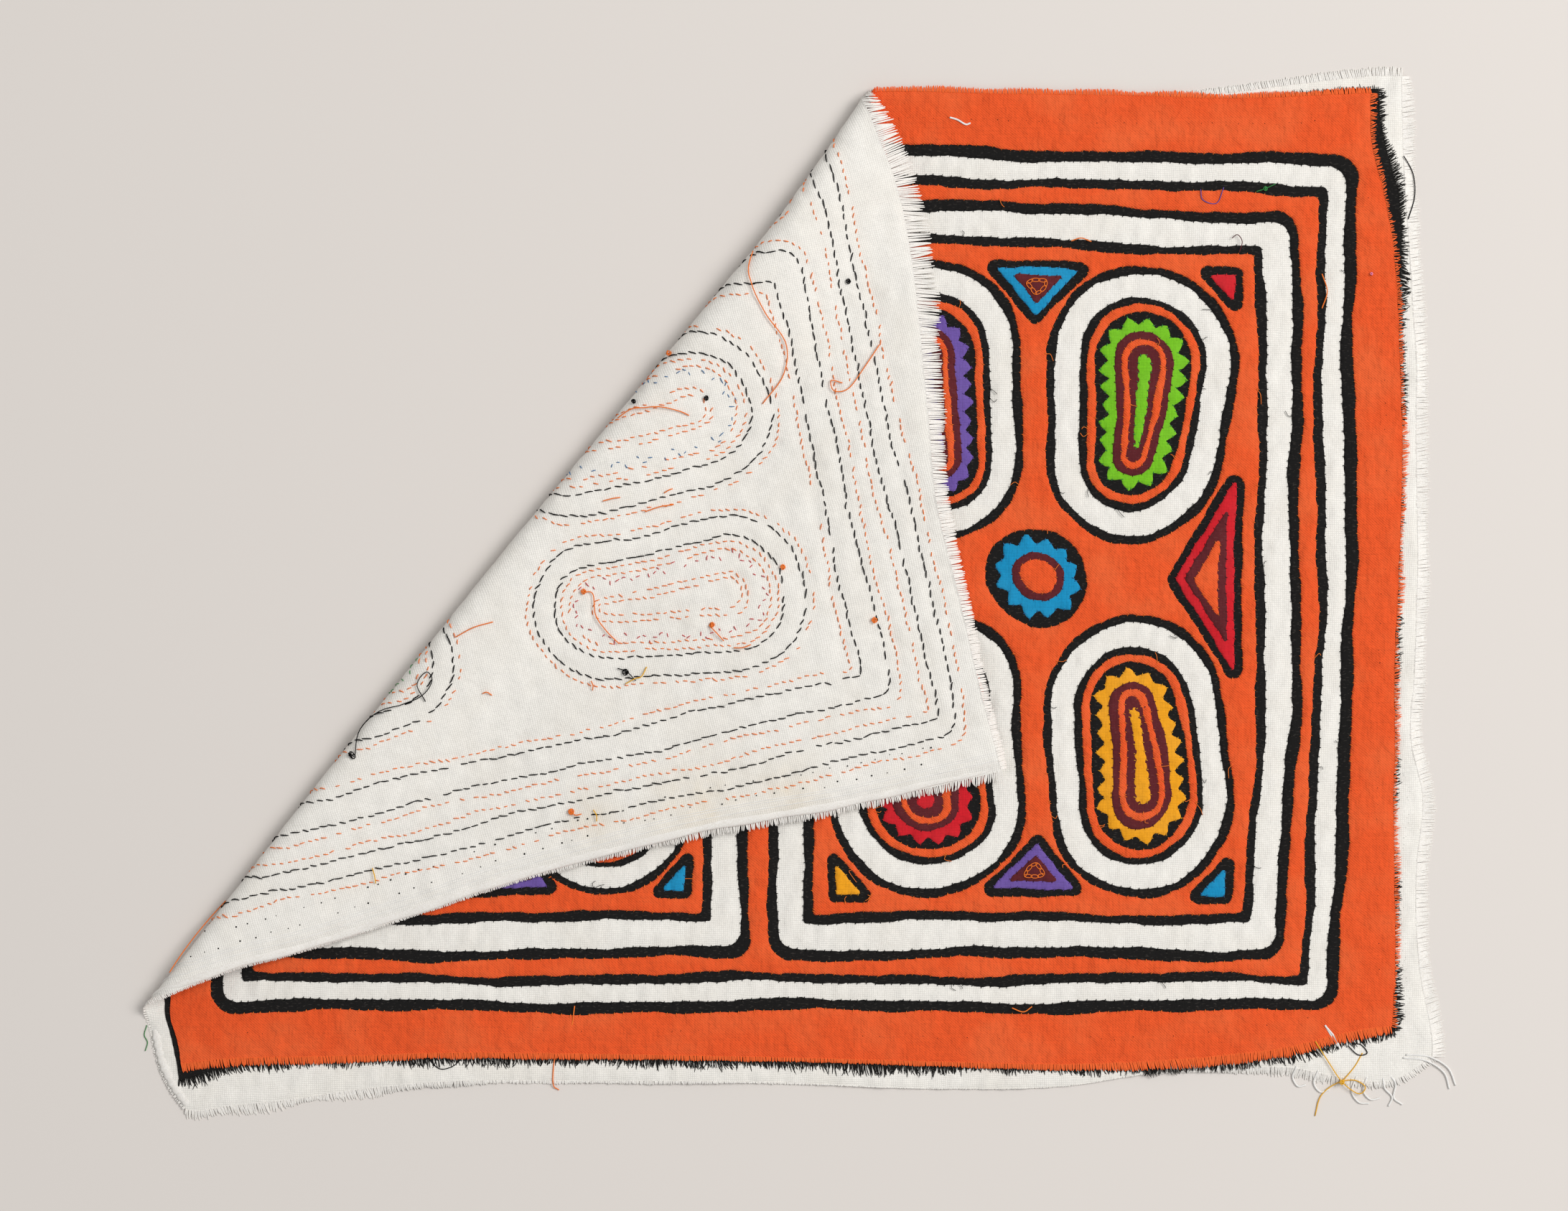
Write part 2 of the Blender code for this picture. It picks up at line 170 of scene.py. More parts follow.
# sRGB colours of the cloths, new and where they are rubbed
COLOURS = {
    "ivory": ("EDEBE6", "E2DACB"),
    "black": ("141313", "141313"),
    "orange": ("F05B29", "F17542"),
    "maroon": ("5E2026", "7A3036"),
    "green": ("76C322", "8ACB45"),
    "yellow": ("F8A31C", "F6B54A"),
    "red": ("D01C29", "D8464A"),
    "blue": ("1490C4", "3FA4CC"),
    "purple": ("6E55A6", "8470B4"),
    "pink": ("F08CC0", "F2A4CC"),
}
LINT, STAIN = "9A928A", "D9C39A"
# Tan marks in the ivory cloth, by the flap's lower edge: flat u, v, reach and strength
STAINS = ((-202.0, 60.0, 24.0, 0.5), (-204.0, 92.0, 18.0, 0.5), (-198.0, 24.0, 14.0, 0.4))


def ramp(value, start, end):
    """0 before start, 1 after end, and a smooth rise between them."""
    t = np.clip((value - start) / (end - start), 0.0, 1.0)
    return t * t * (3 - 2 * t)


def blend(first, last, share):
    """first where share is 0, last where it is 1."""
    return first + (last - first) * share


def through(rows, column, at):
    """A smooth curve through one column of a table, read at the places given."""
    table = np.array(rows)
    x, y = table[:, 0], table[:, column]
    slope = np.gradient(y, x)
    at = np.clip(at, x[0], x[-1])
    i = np.clip(np.searchsorted(x, at) - 1, 0, len(x) - 2)
    step = x[i + 1] - x[i]
    t = (at - x[i]) / step
    rise = y[i] * (1 + 2 * t) * (1 - t) ** 2 + y[i + 1] * t * t * (3 - 2 * t)
    return rise + step * (slope[i] * t * (1 - t) ** 2 - slope[i + 1] * t * t * (1 - t))


def ripple(flat, seed, reach, count=5):
    """A smooth random swell between -1 and 1: a mean of sine waves whose lengths are about reach,
    in as many directions as count."""
    waves = np.random.default_rng(seed)
    turns = waves.uniform(0, math.tau, count)
    lengths = reach * waves.uniform(0.7, 1.5, count)
    phases = waves.uniform(0, math.tau, count)
    heading = np.stack([np.cos(turns), np.sin(turns)]) / lengths * math.tau
    return np.sin(flat @ heading + phases).mean(axis=1)


def unit(vectors):
    """Vectors, each at length 1."""
    return vectors / (np.linalg.norm(vectors, axis=-1, keepdims=True) + 1e-12)


def left_of(vectors):
    """Flat vectors, each turned a quarter to the left."""
    return np.stack([-vectors[..., 1], vectors[..., 0]], axis=-1)


def run_along(path):
    """How far each point of an open path is along it."""
    return np.append(0.0, np.cumsum(np.linalg.norm(np.diff(path, axis=0), axis=1)))


def read(path, run, at):
    """What a path holds at the places given, where run is how far its rows are along it."""
    return np.stack([np.interp(at, run, path[:, k]) for k in (0, 1)], axis=-1)


# Laying the flat cloth in its place

LIFT, LOW_SWELL = 0.4, 0.5  # how the panel stands off the table, everywhere and in low swells
RIM_LIFT, RIM_SWELL, RIM_REACH, SINK = 0.4, 0.8, 9.0, 3.0  # the same near its rim, and past it
RUMPLE, LEAST_LIFT = 0.48, 0.02
FLAP_LIFT, FLAP_SWELL, FLAP_FADE = 0.5, 0.8, 30.0
PAST_BEND, BEFORE_BEND = 4.0, 2.0  # where threads count as on the flap, or as face up


def rumple(flat):
    """The small rumples that sewing draws into all the layers at once."""
    return RUMPLE * ripple(flat, 35, 8.0, 9)


def lie(flat):
    """How far the panel stands off the table: low swells, rumples, and edges that lift here and
    there. Loose threads past the edges sink to the table."""
    u, v = flat.T
    near = np.minimum(through(RIGHT_EDGE, GROUND, v) - u, v - through(BOTTOM_EDGE, GROUND, u))
    far = np.minimum(u - through(LEFT_EDGE, GROUND, v), through(TOP_EDGE, GROUND, u) - v)
    rim = np.exp(-np.clip(near, 0.0, 40.0) / RIM_REACH)
    off = LIFT + LOW_SWELL * ripple(flat, 11, 90.0) + rumple(flat)
    off += rim * (RIM_LIFT + RIM_SWELL * ripple(flat, 12, 38.0))
    return off * ramp(np.minimum(near, far), -SINK, 0.0)


def margin_drop(flat):
    """How far the flap's bare margin of ground cloth has sunk beside the thicker patchwork."""
    u, v = flat.T
    past = np.maximum(through(LEFT_EDGE, BLACK, v) - u, v - through(TOP_EDGE, BLACK, u))
    return MARGIN_DROP * ramp(past, 0.4, MARGIN_RUN)


def fold_state(flat):
    """Along the fold, the loop's height there, where the bend starts, and how far past it."""
    offset = flat - FOLD_TOP
    along = offset @ FOLD_ALONG
    loop = through(FOLD_ROWS, 1, along)
    start = math.pi * (loop - STACK) / 4 + through(FOLD_ROWS, 2, along)
    return along, loop, start, start - offset @ FOLD_ACROSS


def lay(flat, w):
    """Places in metres of flat points at heights w.

    Ahead of the bend the cloth lies flat. In the bend it goes round half a circle, each layer at
    its own radius. Past it the cloth comes back face down and sinks from the loop's height to
    where it lies on the panel."""
    shape = flat.shape[:-1]
    flat, w = flat.reshape(-1, 2), np.broadcast_to(w, shape).ravel()
    along, loop, start, turn = fold_state(flat)
    radius, middle = loop / 2, (loop - STACK) / 2
    angle = np.clip(turn / middle, 0.0, math.pi)
    past = np.maximum(turn - math.pi * middle, 0.0)
    across = start + np.maximum(-turn, 0.0) + past - (radius - w) * np.sin(angle)
    height = radius - (radius - w) * np.cos(angle) - (loop - FLAP_TOP) * ramp(past, 0.0, LOOP_FADE)
    swell = FLAP_LIFT + FLAP_SWELL * ripple(flat, 21, 75.0) + rumple(flat)
    height += (swell - margin_drop(flat)) * ramp(past, 0.0, FLAP_FADE)
    height += np.maximum(lie(flat), LEAST_LIFT) * ramp(-turn, 0.0, FLAP_FADE)
    place = FOLD_TOP + np.outer(along, FOLD_ALONG) + np.outer(across, FOLD_ACROSS) - ORIGIN
    return (np.column_stack([place, height]) * MM).reshape(*shape, 3)


def on_flap(seen):
    """Flat points of places on the flap, given as they are seen from above."""
    along = (seen - FOLD_TOP) @ FOLD_ALONG
    bend = math.pi * (through(FOLD_ROWS, 1, along) - STACK) / 2
    start = bend / 2 + through(FOLD_ROWS, 2, along)
    across = start * 2 - bend - (seen - FOLD_TOP) @ FOLD_ACROSS
    return FOLD_TOP + np.outer(along, FOLD_ALONG) + np.outer(across, FOLD_ACROSS)


def lies_on_flap(flat):
    return fold_state(flat)[3] > PAST_BEND


def faces_up(flat):
    return fold_state(flat)[3] < -BEFORE_BEND


# Loops

EDGE_STEP = 0.8


def resample(points, step):
    """A closed loop drawn again with its points evenly spaced, about step apart."""
    ring = np.vstack([points, points[:1]])
    run = run_along(ring)
    return read(ring, run, np.linspace(0.0, run[-1], max(8, round(run[-1] / step)), endpoint=False))


def run_of(loop):
    """How far each point is along its loop, and the whole way round."""
    steps = np.linalg.norm(np.roll(loop, -1, axis=0) - loop, axis=1)
    return np.append(0.0, np.cumsum(steps)[:-1]), steps.sum()


def inward(loop):
    """Unit normals of a loop, pointing to its inside."""
    return left_of(unit(np.roll(loop, -1, axis=0) - np.roll(loop, 1, axis=0)))


def hull_loop(circles):
    """The outline round circles given as (u, v, radius), anticlockwise: an arc of each circle,
    joined by their shared tangents. A tangent's outward normal turns from the line between the
    centres by the arc cosine of the radii's difference over that line's length."""
    circles = np.array(circles, dtype=float)
    if len(circles) == 1:
        turns = [np.linspace(0, math.tau, 240, endpoint=False)]
    else:
        after = np.roll(circles, -1, axis=0)
        line = after[:, :2] - circles[:, :2]
        lean = np.arccos((circles[:, 2] - after[:, 2]) / np.linalg.norm(line, axis=1))
        leave = np.arctan2(line[:, 1], line[:, 0]) - lean
        first = np.roll(leave, 1)
        turns = np.linspace(first, first + (leave - first) % math.tau, 40, axis=1)
    arcs = []
    for (u, v, radius), turn in zip(circles, turns):
        arcs.append(np.stack([u + radius * np.cos(turn), v + radius * np.sin(turn)], axis=1))
    return np.vstack(arcs)


def inset(corners, depth):
    """A convex polygon's corners after each side has moved inward by depth."""
    corners = np.array(corners, dtype=float)
    before = unit(corners - np.roll(corners, 1, axis=0))
    after = unit(np.roll(corners, -1, axis=0) - corners)
    sine = before[:, 0] * after[:, 1] - before[:, 1] * after[:, 0]
    return corners + depth * (after - before) / sine[:, None]


def rounded(corners, radius, depth, least=0.7):
    """A convex polygon with its corners rounded, depth inside the outline that lies radius
    outside the corners."""
    left = radius - depth
    if left < least:
        corners, left = inset(corners, least - left), least
    return hull_loop([(u, v, left) for u, v in corners])


def leaned(points):
    """Points of a straight design after the two right corners have leaned in."""
    u, v = points.T
    low = LOW_RIGHT_LEAN * ramp(u, 60.0, 190.0) * ramp(-v, 10.0, 150.0)
    high = TOP_RIGHT_DROP * ramp(u, 0.0, 190.0) * ramp(v, 40.0, 150.0)
    return np.stack([u - low, v - high], axis=1)


def wander(points, phase):
    """A hand-cut line: points of a straight design, leaning and wavering as the scissors did."""
    u, v = points.T
    moved = leaned(points)
    for k, (size, u_length, v_length) in enumerate(SWINGS, start=1):
        moved[:, 0] += size * np.sin(v / v_length + k * phase)
        moved[:, 1] += size * np.sin(u / u_length + k * phase + 1.0)
    return moved


# A hem's uneven swings: their lengths, from the scissors' to the needle's, the longest one's size,
# and how far each stitch draws the hem in
HEM_WAVES = np.array([34.0, 19.0, 11.0, 7.0, 4.4, 2.7])
HEM_SWING, STITCH_DRAW = 0.26, 0.14


def hemmed(loop, seed):
    """A loop as sewn: unevenly turned under, and drawn in a little at each stitch."""
    loop = resample(loop, EDGE_STEP)
    run, whole = run_of(loop)
    phase = run / whole * math.pi * max(3, round(whole / STITCH))
    shift = STITCH_DRAW * (0.6 - np.abs(np.sin(phase)))
    waves = np.random.default_rng(seed)
    for count in np.unique(np.maximum(2, (whole / HEM_WAVES).astype(int))):
        size = HEM_SWING * waves.uniform(0.5, 1.0) * (whole / count / HEM_WAVES[0]) ** 0.6
        shift += size * np.sin(run / whole * math.tau * count + waves.uniform(0, math.tau))
    return loop + inward(loop) * shift[:, None]


def box_loop(box, phase):
    """A channel's edge: a box with round corners, cut and sewn by hand."""
    left, bottom, right, top, corner = box
    us, vs = (left + corner, right - corner), (bottom + corner, top - corner)
    loop = hull_loop([(us[i], vs[j], corner) for i, j in ((0, 0), (1, 0), (1, 1), (0, 1))])
    return hemmed(wander(resample(loop, EDGE_STEP), phase), int(phase * 10) + 50)


def cloth_sides(column):
    """The raw edge's four sides as rows of points, anticlockwise from the lower left corner."""
    corners, sides = [], []
    for upright, level, v in CORNERS:
        for _ in range(8):
            u = through(upright, column, v)
            v = through(level, column, u)
        corners.append((u, v))
    for k, edge in enumerate(EDGES):
        first, last = corners[k][k % 2], corners[(k + 1) % 4][k % 2]
        at = blend(first, last, np.linspace(0.0, 1.0, 400))
        points = (at, through(edge, column, at))
        sides.append(np.stack(points[::-1] if k % 2 else points, axis=1))
    return sides


def raw_loop(column, seed):
    """A raw edge, with the small nicks of scissors and lost threads."""
    loop = resample(np.vstack([side[:-1] for side in cloth_sides(column)]), EDGE_STEP)
    nicks = 0.35 * ripple(loop, seed, 9.0, 7) + 0.2 * ripple(loop, seed + 1, 3.0, 7)
    return loop + inward(loop) * nicks[:, None]


# Meshes


def make_mesh(name, places, faces, flat=None, smooth=True):
    """A mesh, whose UV map is its flat drawing in millimetres."""
    mesh = bpy.data.meshes.new(name)
    mesh.from_pydata(places.tolist(), [], faces)
    if flat is not None:
        corner = np.empty(len(mesh.loops), dtype=np.int32)
        mesh.loops.foreach_get("vertex_index", corner)
        layer = mesh.uv_layers.new(name="flat")
        layer.data.foreach_set("uv", flat[corner].astype(np.float32).ravel())
    if smooth:
        mesh.shade_smooth()
    piece = bpy.data.objects.new(name, mesh)
    bpy.context.scene.collection.objects.link(piece)
    return piece


def finish_piece(piece, material, slot, *nodes):
    """Gives a piece its finish and ties it to the part."""
    piece.data.materials.append(MATERIALS[material])
    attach(piece, ROOT)
    if nodes:
        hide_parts(*nodes)
    DRESSED.append(piece)
    return piece


def inside(points, loops):
    """Which points lie inside an odd number of the loops."""
    odd = np.zeros(len(points), dtype=bool)
    for loop in loops:
        a, b = loop, np.roll(loop, -1, axis=0)
        near = (points[:, 1] >= loop[:, 1].min()) & (points[:, 1] <= loop[:, 1].max())
        chosen = np.flatnonzero(near)
        for part in np.array_split(chosen, max(1, len(chosen) // 2000)):
            u, v = points[part, 0][:, None], points[part, 1][:, None]
            spans = (a[:, 1] > v) != (b[:, 1] > v)
            rise = np.where(b[:, 1] == a[:, 1], 1.0, b[:, 1] - a[:, 1])
            crossing = a[:, 0] + (v - a[:, 1]) * (b[:, 0] - a[:, 0]) / rise
            odd[part] ^= (spans & (u < crossing)).sum(axis=1) % 2 == 1
    return odd


def nearest(points, targets):
    """For each point, the number of the closest target and its distance."""
    tree = kdtree.KDTree(len(targets))
    for k, (u, v) in enumerate(targets.tolist()):
        tree.insert((u, v, 0.0), k)
    tree.balance()
    found = np.array([tree.find((u, v, 0.0))[1:] for u, v in points.tolist()]).reshape(-1, 2)
    return found[:, 0].astype(int), found[:, 1]


CLOTH_STEP = 2.2
# Rows of points inside each kind of edge, and how near to an edge the rows and the grid may come,
# as shares of their depth and step
EDGE_ROWS = {"hem": (0.12, 0.35, 0.8, 1.5), "raw": (1.0,), "under": ()}
EDGE_MARGIN, ROW_SHARE, GRID_SHARE, TRIANGLE_RISE = 1.5, 0.85, 0.45, 0.866
HEM_RADIUS, HEM_TUCK = 0.5, 0.15  # a hem's rounding, and how far it dips below its cloth
# Sizes and reaches of the puff between hems, the dimples at stitches and the puckers beside them
PUFF, PUFF_RUN, PUFF_MORE = 0.22, 1.6, 0.35
DIMPLE, DIMPLE_INSIDE, DIMPLE_RUN = 0.16, 0.7, 0.9
PUCKER, PUCKER_RUN, PUCKER_LENGTH = 0.2, 7.0, 5.4
HEMS = []


def at_stitches(along):
    """1 at each stitch of a seam, 0 halfway to the next."""
    return 0.5 + 0.5 * np.cos(along / STITCH * math.tau)


def puffed(flat):
    """How much the cloth puffs up here and there, around 1."""
    return 1 + 0.5 * ripple(flat, 31, 14.0)


def patch(name, cotton, loops, level, *nodes, hems=None, step=CLOTH_STEP, puff=PUFF):
    """A piece of cloth between its outer loop and its holes. Rows of points follow each hem, so
    that its edge is round and dips at the stitches, and a grid fills the rest. A point's height
    is that of the cloth below, plus a quarter circle over HEM_RADIUS from the edge, plus a swell
    that grows with the distance from the hem."""
    low, top = LEVELS[level]
    edge = np.vstack(loops)
    run = np.concatenate([run_of(loop)[0] for loop in loops])
    kind, links, rows = [], [], []
    for k, (loop, hem) in enumerate(zip(loops, hems or ["hem"] * len(loops))):
        index = np.arange(len(loop)) + sum(len(before) for before in loops[:k])
        links += np.stack([index, np.roll(index, -1)], axis=1).tolist()
        kind += [hem == "hem"] * len(loop)
        into = inward(loop) * (1 if k == 0 else -1)
        if hem == "hem":
            HEMS.append((loop, into, LEVELS[level], cotton))
        for j, depth in enumerate(EDGE_ROWS[hem]):
            chosen = slice(j % 2, None, 1 + j // 2)
            rows.append((loop[chosen] + into[chosen] * depth, depth * ROW_SHARE))
    spans = zip(edge.min(axis=0), edge.max(axis=0), (step, step * TRIANGLE_RISE))
    grid = np.stack(np.meshgrid(*(np.arange(*span) for span in spans)), axis=-1)
    grid[1::2, :, 0] += step / 2
    rows.append((grid.reshape(-1, 2), EDGE_MARGIN + step * GRID_SHARE))
    grid = np.vstack([points for points, _ in rows])
    least = np.concatenate([np.full(len(points), gap) for points, gap in rows])
    keep = inside(grid, loops)
    grid, least = grid[keep], least[keep]
    flat = np.vstack([edge, grid[nearest(grid, edge)[1] > least]])
    cut = geometry.delaunay_2d_cdt([tuple(p) for p in flat.tolist()], links, [], 0, 1e-7)
    flat, faces = np.array([tuple(p) for p in cut[0]]), np.array(cut[2])
    faces = faces[inside(flat[faces].mean(axis=1), loops)]

    closest, distance = nearest(flat, edge)
    turned, along = np.array(kind)[closest], run[closest]
    rounding = np.sqrt(1 - (1 - np.clip(distance / HEM_RADIUS, 0.0, 1.0)) ** 2)
    w = np.where(turned, blend(low - HEM_TUCK, top, rounding), top)
    w += puff * (1 - np.exp(-distance / PUFF_RUN)) * puffed(flat)
    dimple = at_stitches(along) * np.exp(-((distance - DIMPLE_INSIDE) ** 2) / DIMPLE_RUN)
    pucker = ramp(distance, 0.5, 2.5) * np.exp(-((distance / PUCKER_RUN) ** 2))
    pucker *= ripple(np.stack([along, distance * 0.3], axis=1), 33, PUCKER_LENGTH)
    w += np.where(turned, PUCKER * pucker - DIMPLE * dimple, 0.0)
    piece = make_mesh(name, lay(flat, w), faces.tolist(), flat)
    finish_piece(piece, cotton, cotton + "_cotton", *nodes)


def tubes(name, material, slot, paths, radius, *nodes, sides=4, flatten=1.0, smooth=True):
    """Many thin tubes in one mesh. paths holds rows of points in metres, radius is in millimetres
    for each point of a row. Each ring stands square to its path, and its height is flatten times
    its width."""
    paths = np.array(paths)
    count, rings = paths.shape[:2]
    tangent = unit(np.gradient(paths, axis=1))
    side = unit(np.cross(tangent, (0.02, 0.03, 1.0)))
    rise = np.cross(side, tangent)
    turn = (np.arange(sides) + 0.5) / sides * math.tau
    size = np.broadcast_to(radius, (count, rings)) * MM
    over = rise[:, :, None] * flatten * np.sin(turn)[:, None]
    ring = side[:, :, None] * np.cos(turn)[:, None] + over
    places = paths[:, :, None] + ring * size[:, :, None, None]
    places[..., 2] = np.maximum(places[..., 2], 0.0)
    index = np.arange(count * rings * sides).reshape(count, rings, sides)
    after = np.roll(index, -1, axis=2)
    walls = np.stack([index[:, :-1], index[:, 1:], after[:, 1:], after[:, :-1]], axis=-1)
    faces = walls.reshape(-1, 4).tolist() + index[:, 0].tolist() + index[:, -1, ::-1].tolist()
    piece = make_mesh(name, places.reshape(-1, 3), faces, smooth=smooth)
    finish_piece(piece, material, slot, *nodes)


# Finishes

DARK, LIGHT = 0.32, 1.16  # a cloth's gaps, in painted shade, and its threads' crowns, in painted highlight, as shares of its colour
MATH, VECTOR, NOISE = "ShaderNodeMath", "ShaderNodeVectorMath", "ShaderNodeTexNoise"
MIX, RANGE = "ShaderNodeMix", "ShaderNodeMapRange"


def linear(hexes, share=1.0):
    """An sRGB hex colour as linear red, green, blue and alpha, darker or up to white by share."""
    parts = [int(hexes[k : k + 2], 16) / 255 for k in (0, 2, 4)]
    parts = [c / 12.92 if c <= 0.04045 else ((c + 0.055) / 1.055) ** 2.4 for c in parts]
    return [min(c * share, 1.0) for c in parts] + [1.0]


def add(tree, kind, inputs=None, **settings):
    """Adds a node. settings are its own properties. inputs hold its sockets' values, or the nodes
    and sockets that feed them, where a node stands for its first output."""
    node = tree.nodes.new(kind)
    for key, value in settings.items():
        setattr(node, key, value)
    for key, value in (inputs or {}).items():
        if isinstance(value, bpy.types.Node):
            value = value.outputs[0]
        if isinstance(value, bpy.types.NodeSocket):
            tree.links.new(value, node.inputs[key])
        else:
            node.inputs[key].default_value = value
    return node


def new_material(name, **values):
    """A material whose shader has the values given, named with _ for a space."""
    material = bpy.data.materials.new(name)
    material.use_nodes = True
    shader = material.node_tree.nodes["Principled BSDF"]
    for key, value in values.items():
        shader.inputs[key.replace("_", " ")].default_value = value
    return material, material.node_tree, shader


def woven_cotton(colour, thread, rib, gap, relief, slub, faded, crinkle, lint=0.0):
    """Cotton off the loom: matt and soft, with rows of threads both ways.

    The height of the weave is the product of two rounded cosines, one for the warp and one for the
    weft, thread millimetres apart, with rib's share of a twill's slanting lines. Threads waver,
    and swell and thin along their length. The colour has painted shade in the gaps and a painted
    highlight on the threads' crowns, fades where the cloth has rubbed, and is mottled by fibres
    that stand up."""
    material, tree, shader = new_material(
        colour + "_cotton",
        Roughness=0.88,
        Sheen_Weight=0.06,
        Sheen_Roughness=0.6,
        Specular_IOR_Level=0.15,
    )
    flat = add(tree, "ShaderNodeUVMap", uv_map="flat")
    blots = {}
    for name, across, down, detail in (
        # each blot's size along u and v, in millimetres
        ("waver", 9.0, 9.0, 1.0),
        ("warp slubs", thread * 1.6, 15.0, 1.0),
        ("weft slubs", 15.0, thread * 1.6, 1.0),
        ("fibres", 0.9, 0.9, 3.0),
        ("mottle", 5.0, 6.0, 2.0),
        ("crinkle", 3.4, 4.2, 2.0),
        ("rubbing", 21.0, 17.0, 4.0),
        ("lint", 1.6, 0.5, 1.0),
    ):
        size = {"Vector": flat, "Scale": (1 / across, 1 / down, 1.0)}
        look = {"Vector": add(tree, "ShaderNodeMapping", size), "Scale": 1.0, "Detail": detail}
        blots[name] = add(tree, NOISE, look, noise_dimensions="2D")

    wavered = {0: blots["waver"].outputs["Color"], 1: (thread * 1.6,) * 3, 2: flat}
    wavered = add(tree, VECTOR, wavered, operation="MULTIPLY_ADD")
    waves = add(tree, VECTOR, {0: wavered, 1: (math.pi / thread,) * 3}, operation="MULTIPLY")
    for step in ("COSINE", "ABSOLUTE"):
        waves = add(tree, VECTOR, {0: waves}, operation=step)
    waves = add(tree, "ShaderNodeSeparateXYZ", {0: waves})
    warp = add(tree, MATH, {0: waves.outputs[0], 1: 0.35}, operation="POWER")
    weft = add(tree, MATH, {0: waves.outputs[1], 1: 0.6}, operation="POWER")
    weave = add(tree, MATH, {0: warp, 1: weft}, operation="MULTIPLY")
    if rib:
        # One slanting line for about each thread and a half, as coarse as it needs to show
        slant = {0: wavered, 1: (math.tau / (thread * 2.1), math.tau / (thread * 1.7), 0.0)}
        slant = add(tree, VECTOR, slant, operation="DOT_PRODUCT").outputs["Value"]
        slant = add(tree, MATH, {0: slant}, operation="SINE")
        slant = add(tree, MATH, {0: slant, 1: 0.5, 2: 0.5}, operation="MULTIPLY_ADD")
        weave = add(tree, MIX, {0: rib, 2: weave, 3: slant})

    # The tone: painted shade in the weave's gaps and a painted highlight on the threads' crowns,
    # with the cloth's own uneven tone from the blots
    shares = {"warp slubs": slub, "weft slubs": slub, "fibres": 0.22, "mottle": 0.12}
    shade = {0: weave, 1: gap, 2: 0.92 - gap - sum(shares.values()) / 2}
    shade = add(tree, MATH, shade, operation="MULTIPLY_ADD")
    height = {0: blots["crinkle"], 1: crinkle / relief, 2: weave}
    height = add(tree, MATH, height, operation="MULTIPLY_ADD")
    for name, share in shares.items():
        shade = add(tree, MATH, {0: blots[name], 1: share, 2: shade}, operation="MULTIPLY_ADD")
        height = {0: blots[name], 1: share * 2.0, 2: height}
        height = add(tree, MATH, height, operation="MULTIPLY_ADD")
    bump = {"Height": height, "Strength": 1.0, "Distance": relief * MM}
    bump = add(tree, "ShaderNodeBump", bump)

    new, worn = COLOURS[colour]
    rubbed = add(tree, RANGE, {0: blots["rubbing"], 1: 0.42, 2: 0.72, 3: 0.0, 4: faded})
    layers = [(rubbed, worn)]
    if lint:
        caught = add(tree, RANGE, {0: blots["lint"], 1: 0.64, 2: 0.74, 3: 0.0, 4: lint})
        layers.append((caught, LINT))
    for u, v, reach, strength in STAINS if colour == "ivory" else ():
        away = {0: flat, 1: (u, v, 0.0)}
        away = add(tree, VECTOR, away, operation="DISTANCE").outputs["Value"]
        near = add(tree, RANGE, {0: away, 1: reach, 2: 0.0, 3: 0.0, 4: strength})
        patchy = add(tree, MATH, {0: near, 1: blots["mottle"]}, operation="MULTIPLY")
        layers.append((patchy, STAIN))
    tone = {0: shade, 6: linear(new, DARK), 7: linear(new, LIGHT)}
    tone = add(tree, MIX, tone, data_type="RGBA", clamp_factor=True).outputs[2]
    for share, hexes in layers:
        tone = {0: share, 6: tone, 7: linear(hexes)}
        tone = add(tree, MIX, tone, data_type="RGBA").outputs[2]
    tree.links.new(tone, shader.inputs["Base Color"])
    tree.links.new(bump.outputs[0], shader.inputs["Normal"])
    return material


def spun_thread(name, hexes):
    """Sewing and frayed cotton thread: matt and hairy, lighter and darker along its twist."""
    material, tree, shader = new_material(name, Roughness=0.9, Specular_IOR_Level=0.12)
    where = add(tree, "ShaderNodeTexCoord").outputs["Object"]
    # The twist of a sewing thread turns in about 0.4 mm
    fleck = add(tree, NOISE, {"Vector": where, "Scale": 2500.0, "Detail": 1.0})
    tone = {0: fleck, 6: linear(hexes, 0.72), 7: linear(hexes, 1.22)}
    tone = add(tree, MIX, tone, data_type="RGBA").outputs[2]
    tree.links.new(tone, shader.inputs["Base Color"])
    bump = add(tree, "ShaderNodeBump", {"Height": fleck, "Strength": 0.6, "Distance": 0.05 * MM})
    tree.links.new(bump.outputs[0], shader.inputs["Normal"])
    return material


COTTONS = (
    # colour, thread spacing in mm, twill's share, painted shade in the gaps, relief in mm, slubs,
    # fading, crinkles in mm, lint
    # Unbleached ground cloth: coarse and open, so single threads can be counted
    ("ivory", 0.72, 0.0, 0.13, 0.08, 0.02, 0.16, 0.25),
    # Black cloth: close and dull, and it catches pale lint
    ("black", 0.55, 0.0, 0.30, 0.06, 0.10, 0.0, 0.4, 0.08),
    # Orange cloth: a fine twill, slanting lines, streaked by uneven threads and a little rubbed
    ("orange", 0.50, 0.55, 0.34, 0.12, 0.16, 0.36, 0.8),
    # Inlays: plain closely woven cotton in clear dyes. The others have INLAY's values and the
    # painted shade of their gaps from the table below
    ("maroon", 0.55, 0.0, 0.34, 0.09, 0.14, 0.2, 0.6, 0.05),
)
INLAY = (0.08, 0.12, 0.2, 0.5)
GAP_SHADES = {"green": 0.24, "yellow": 0.22, "red": 0.26, "blue": 0.24, "purple": 0.26, "pink": 0.22}
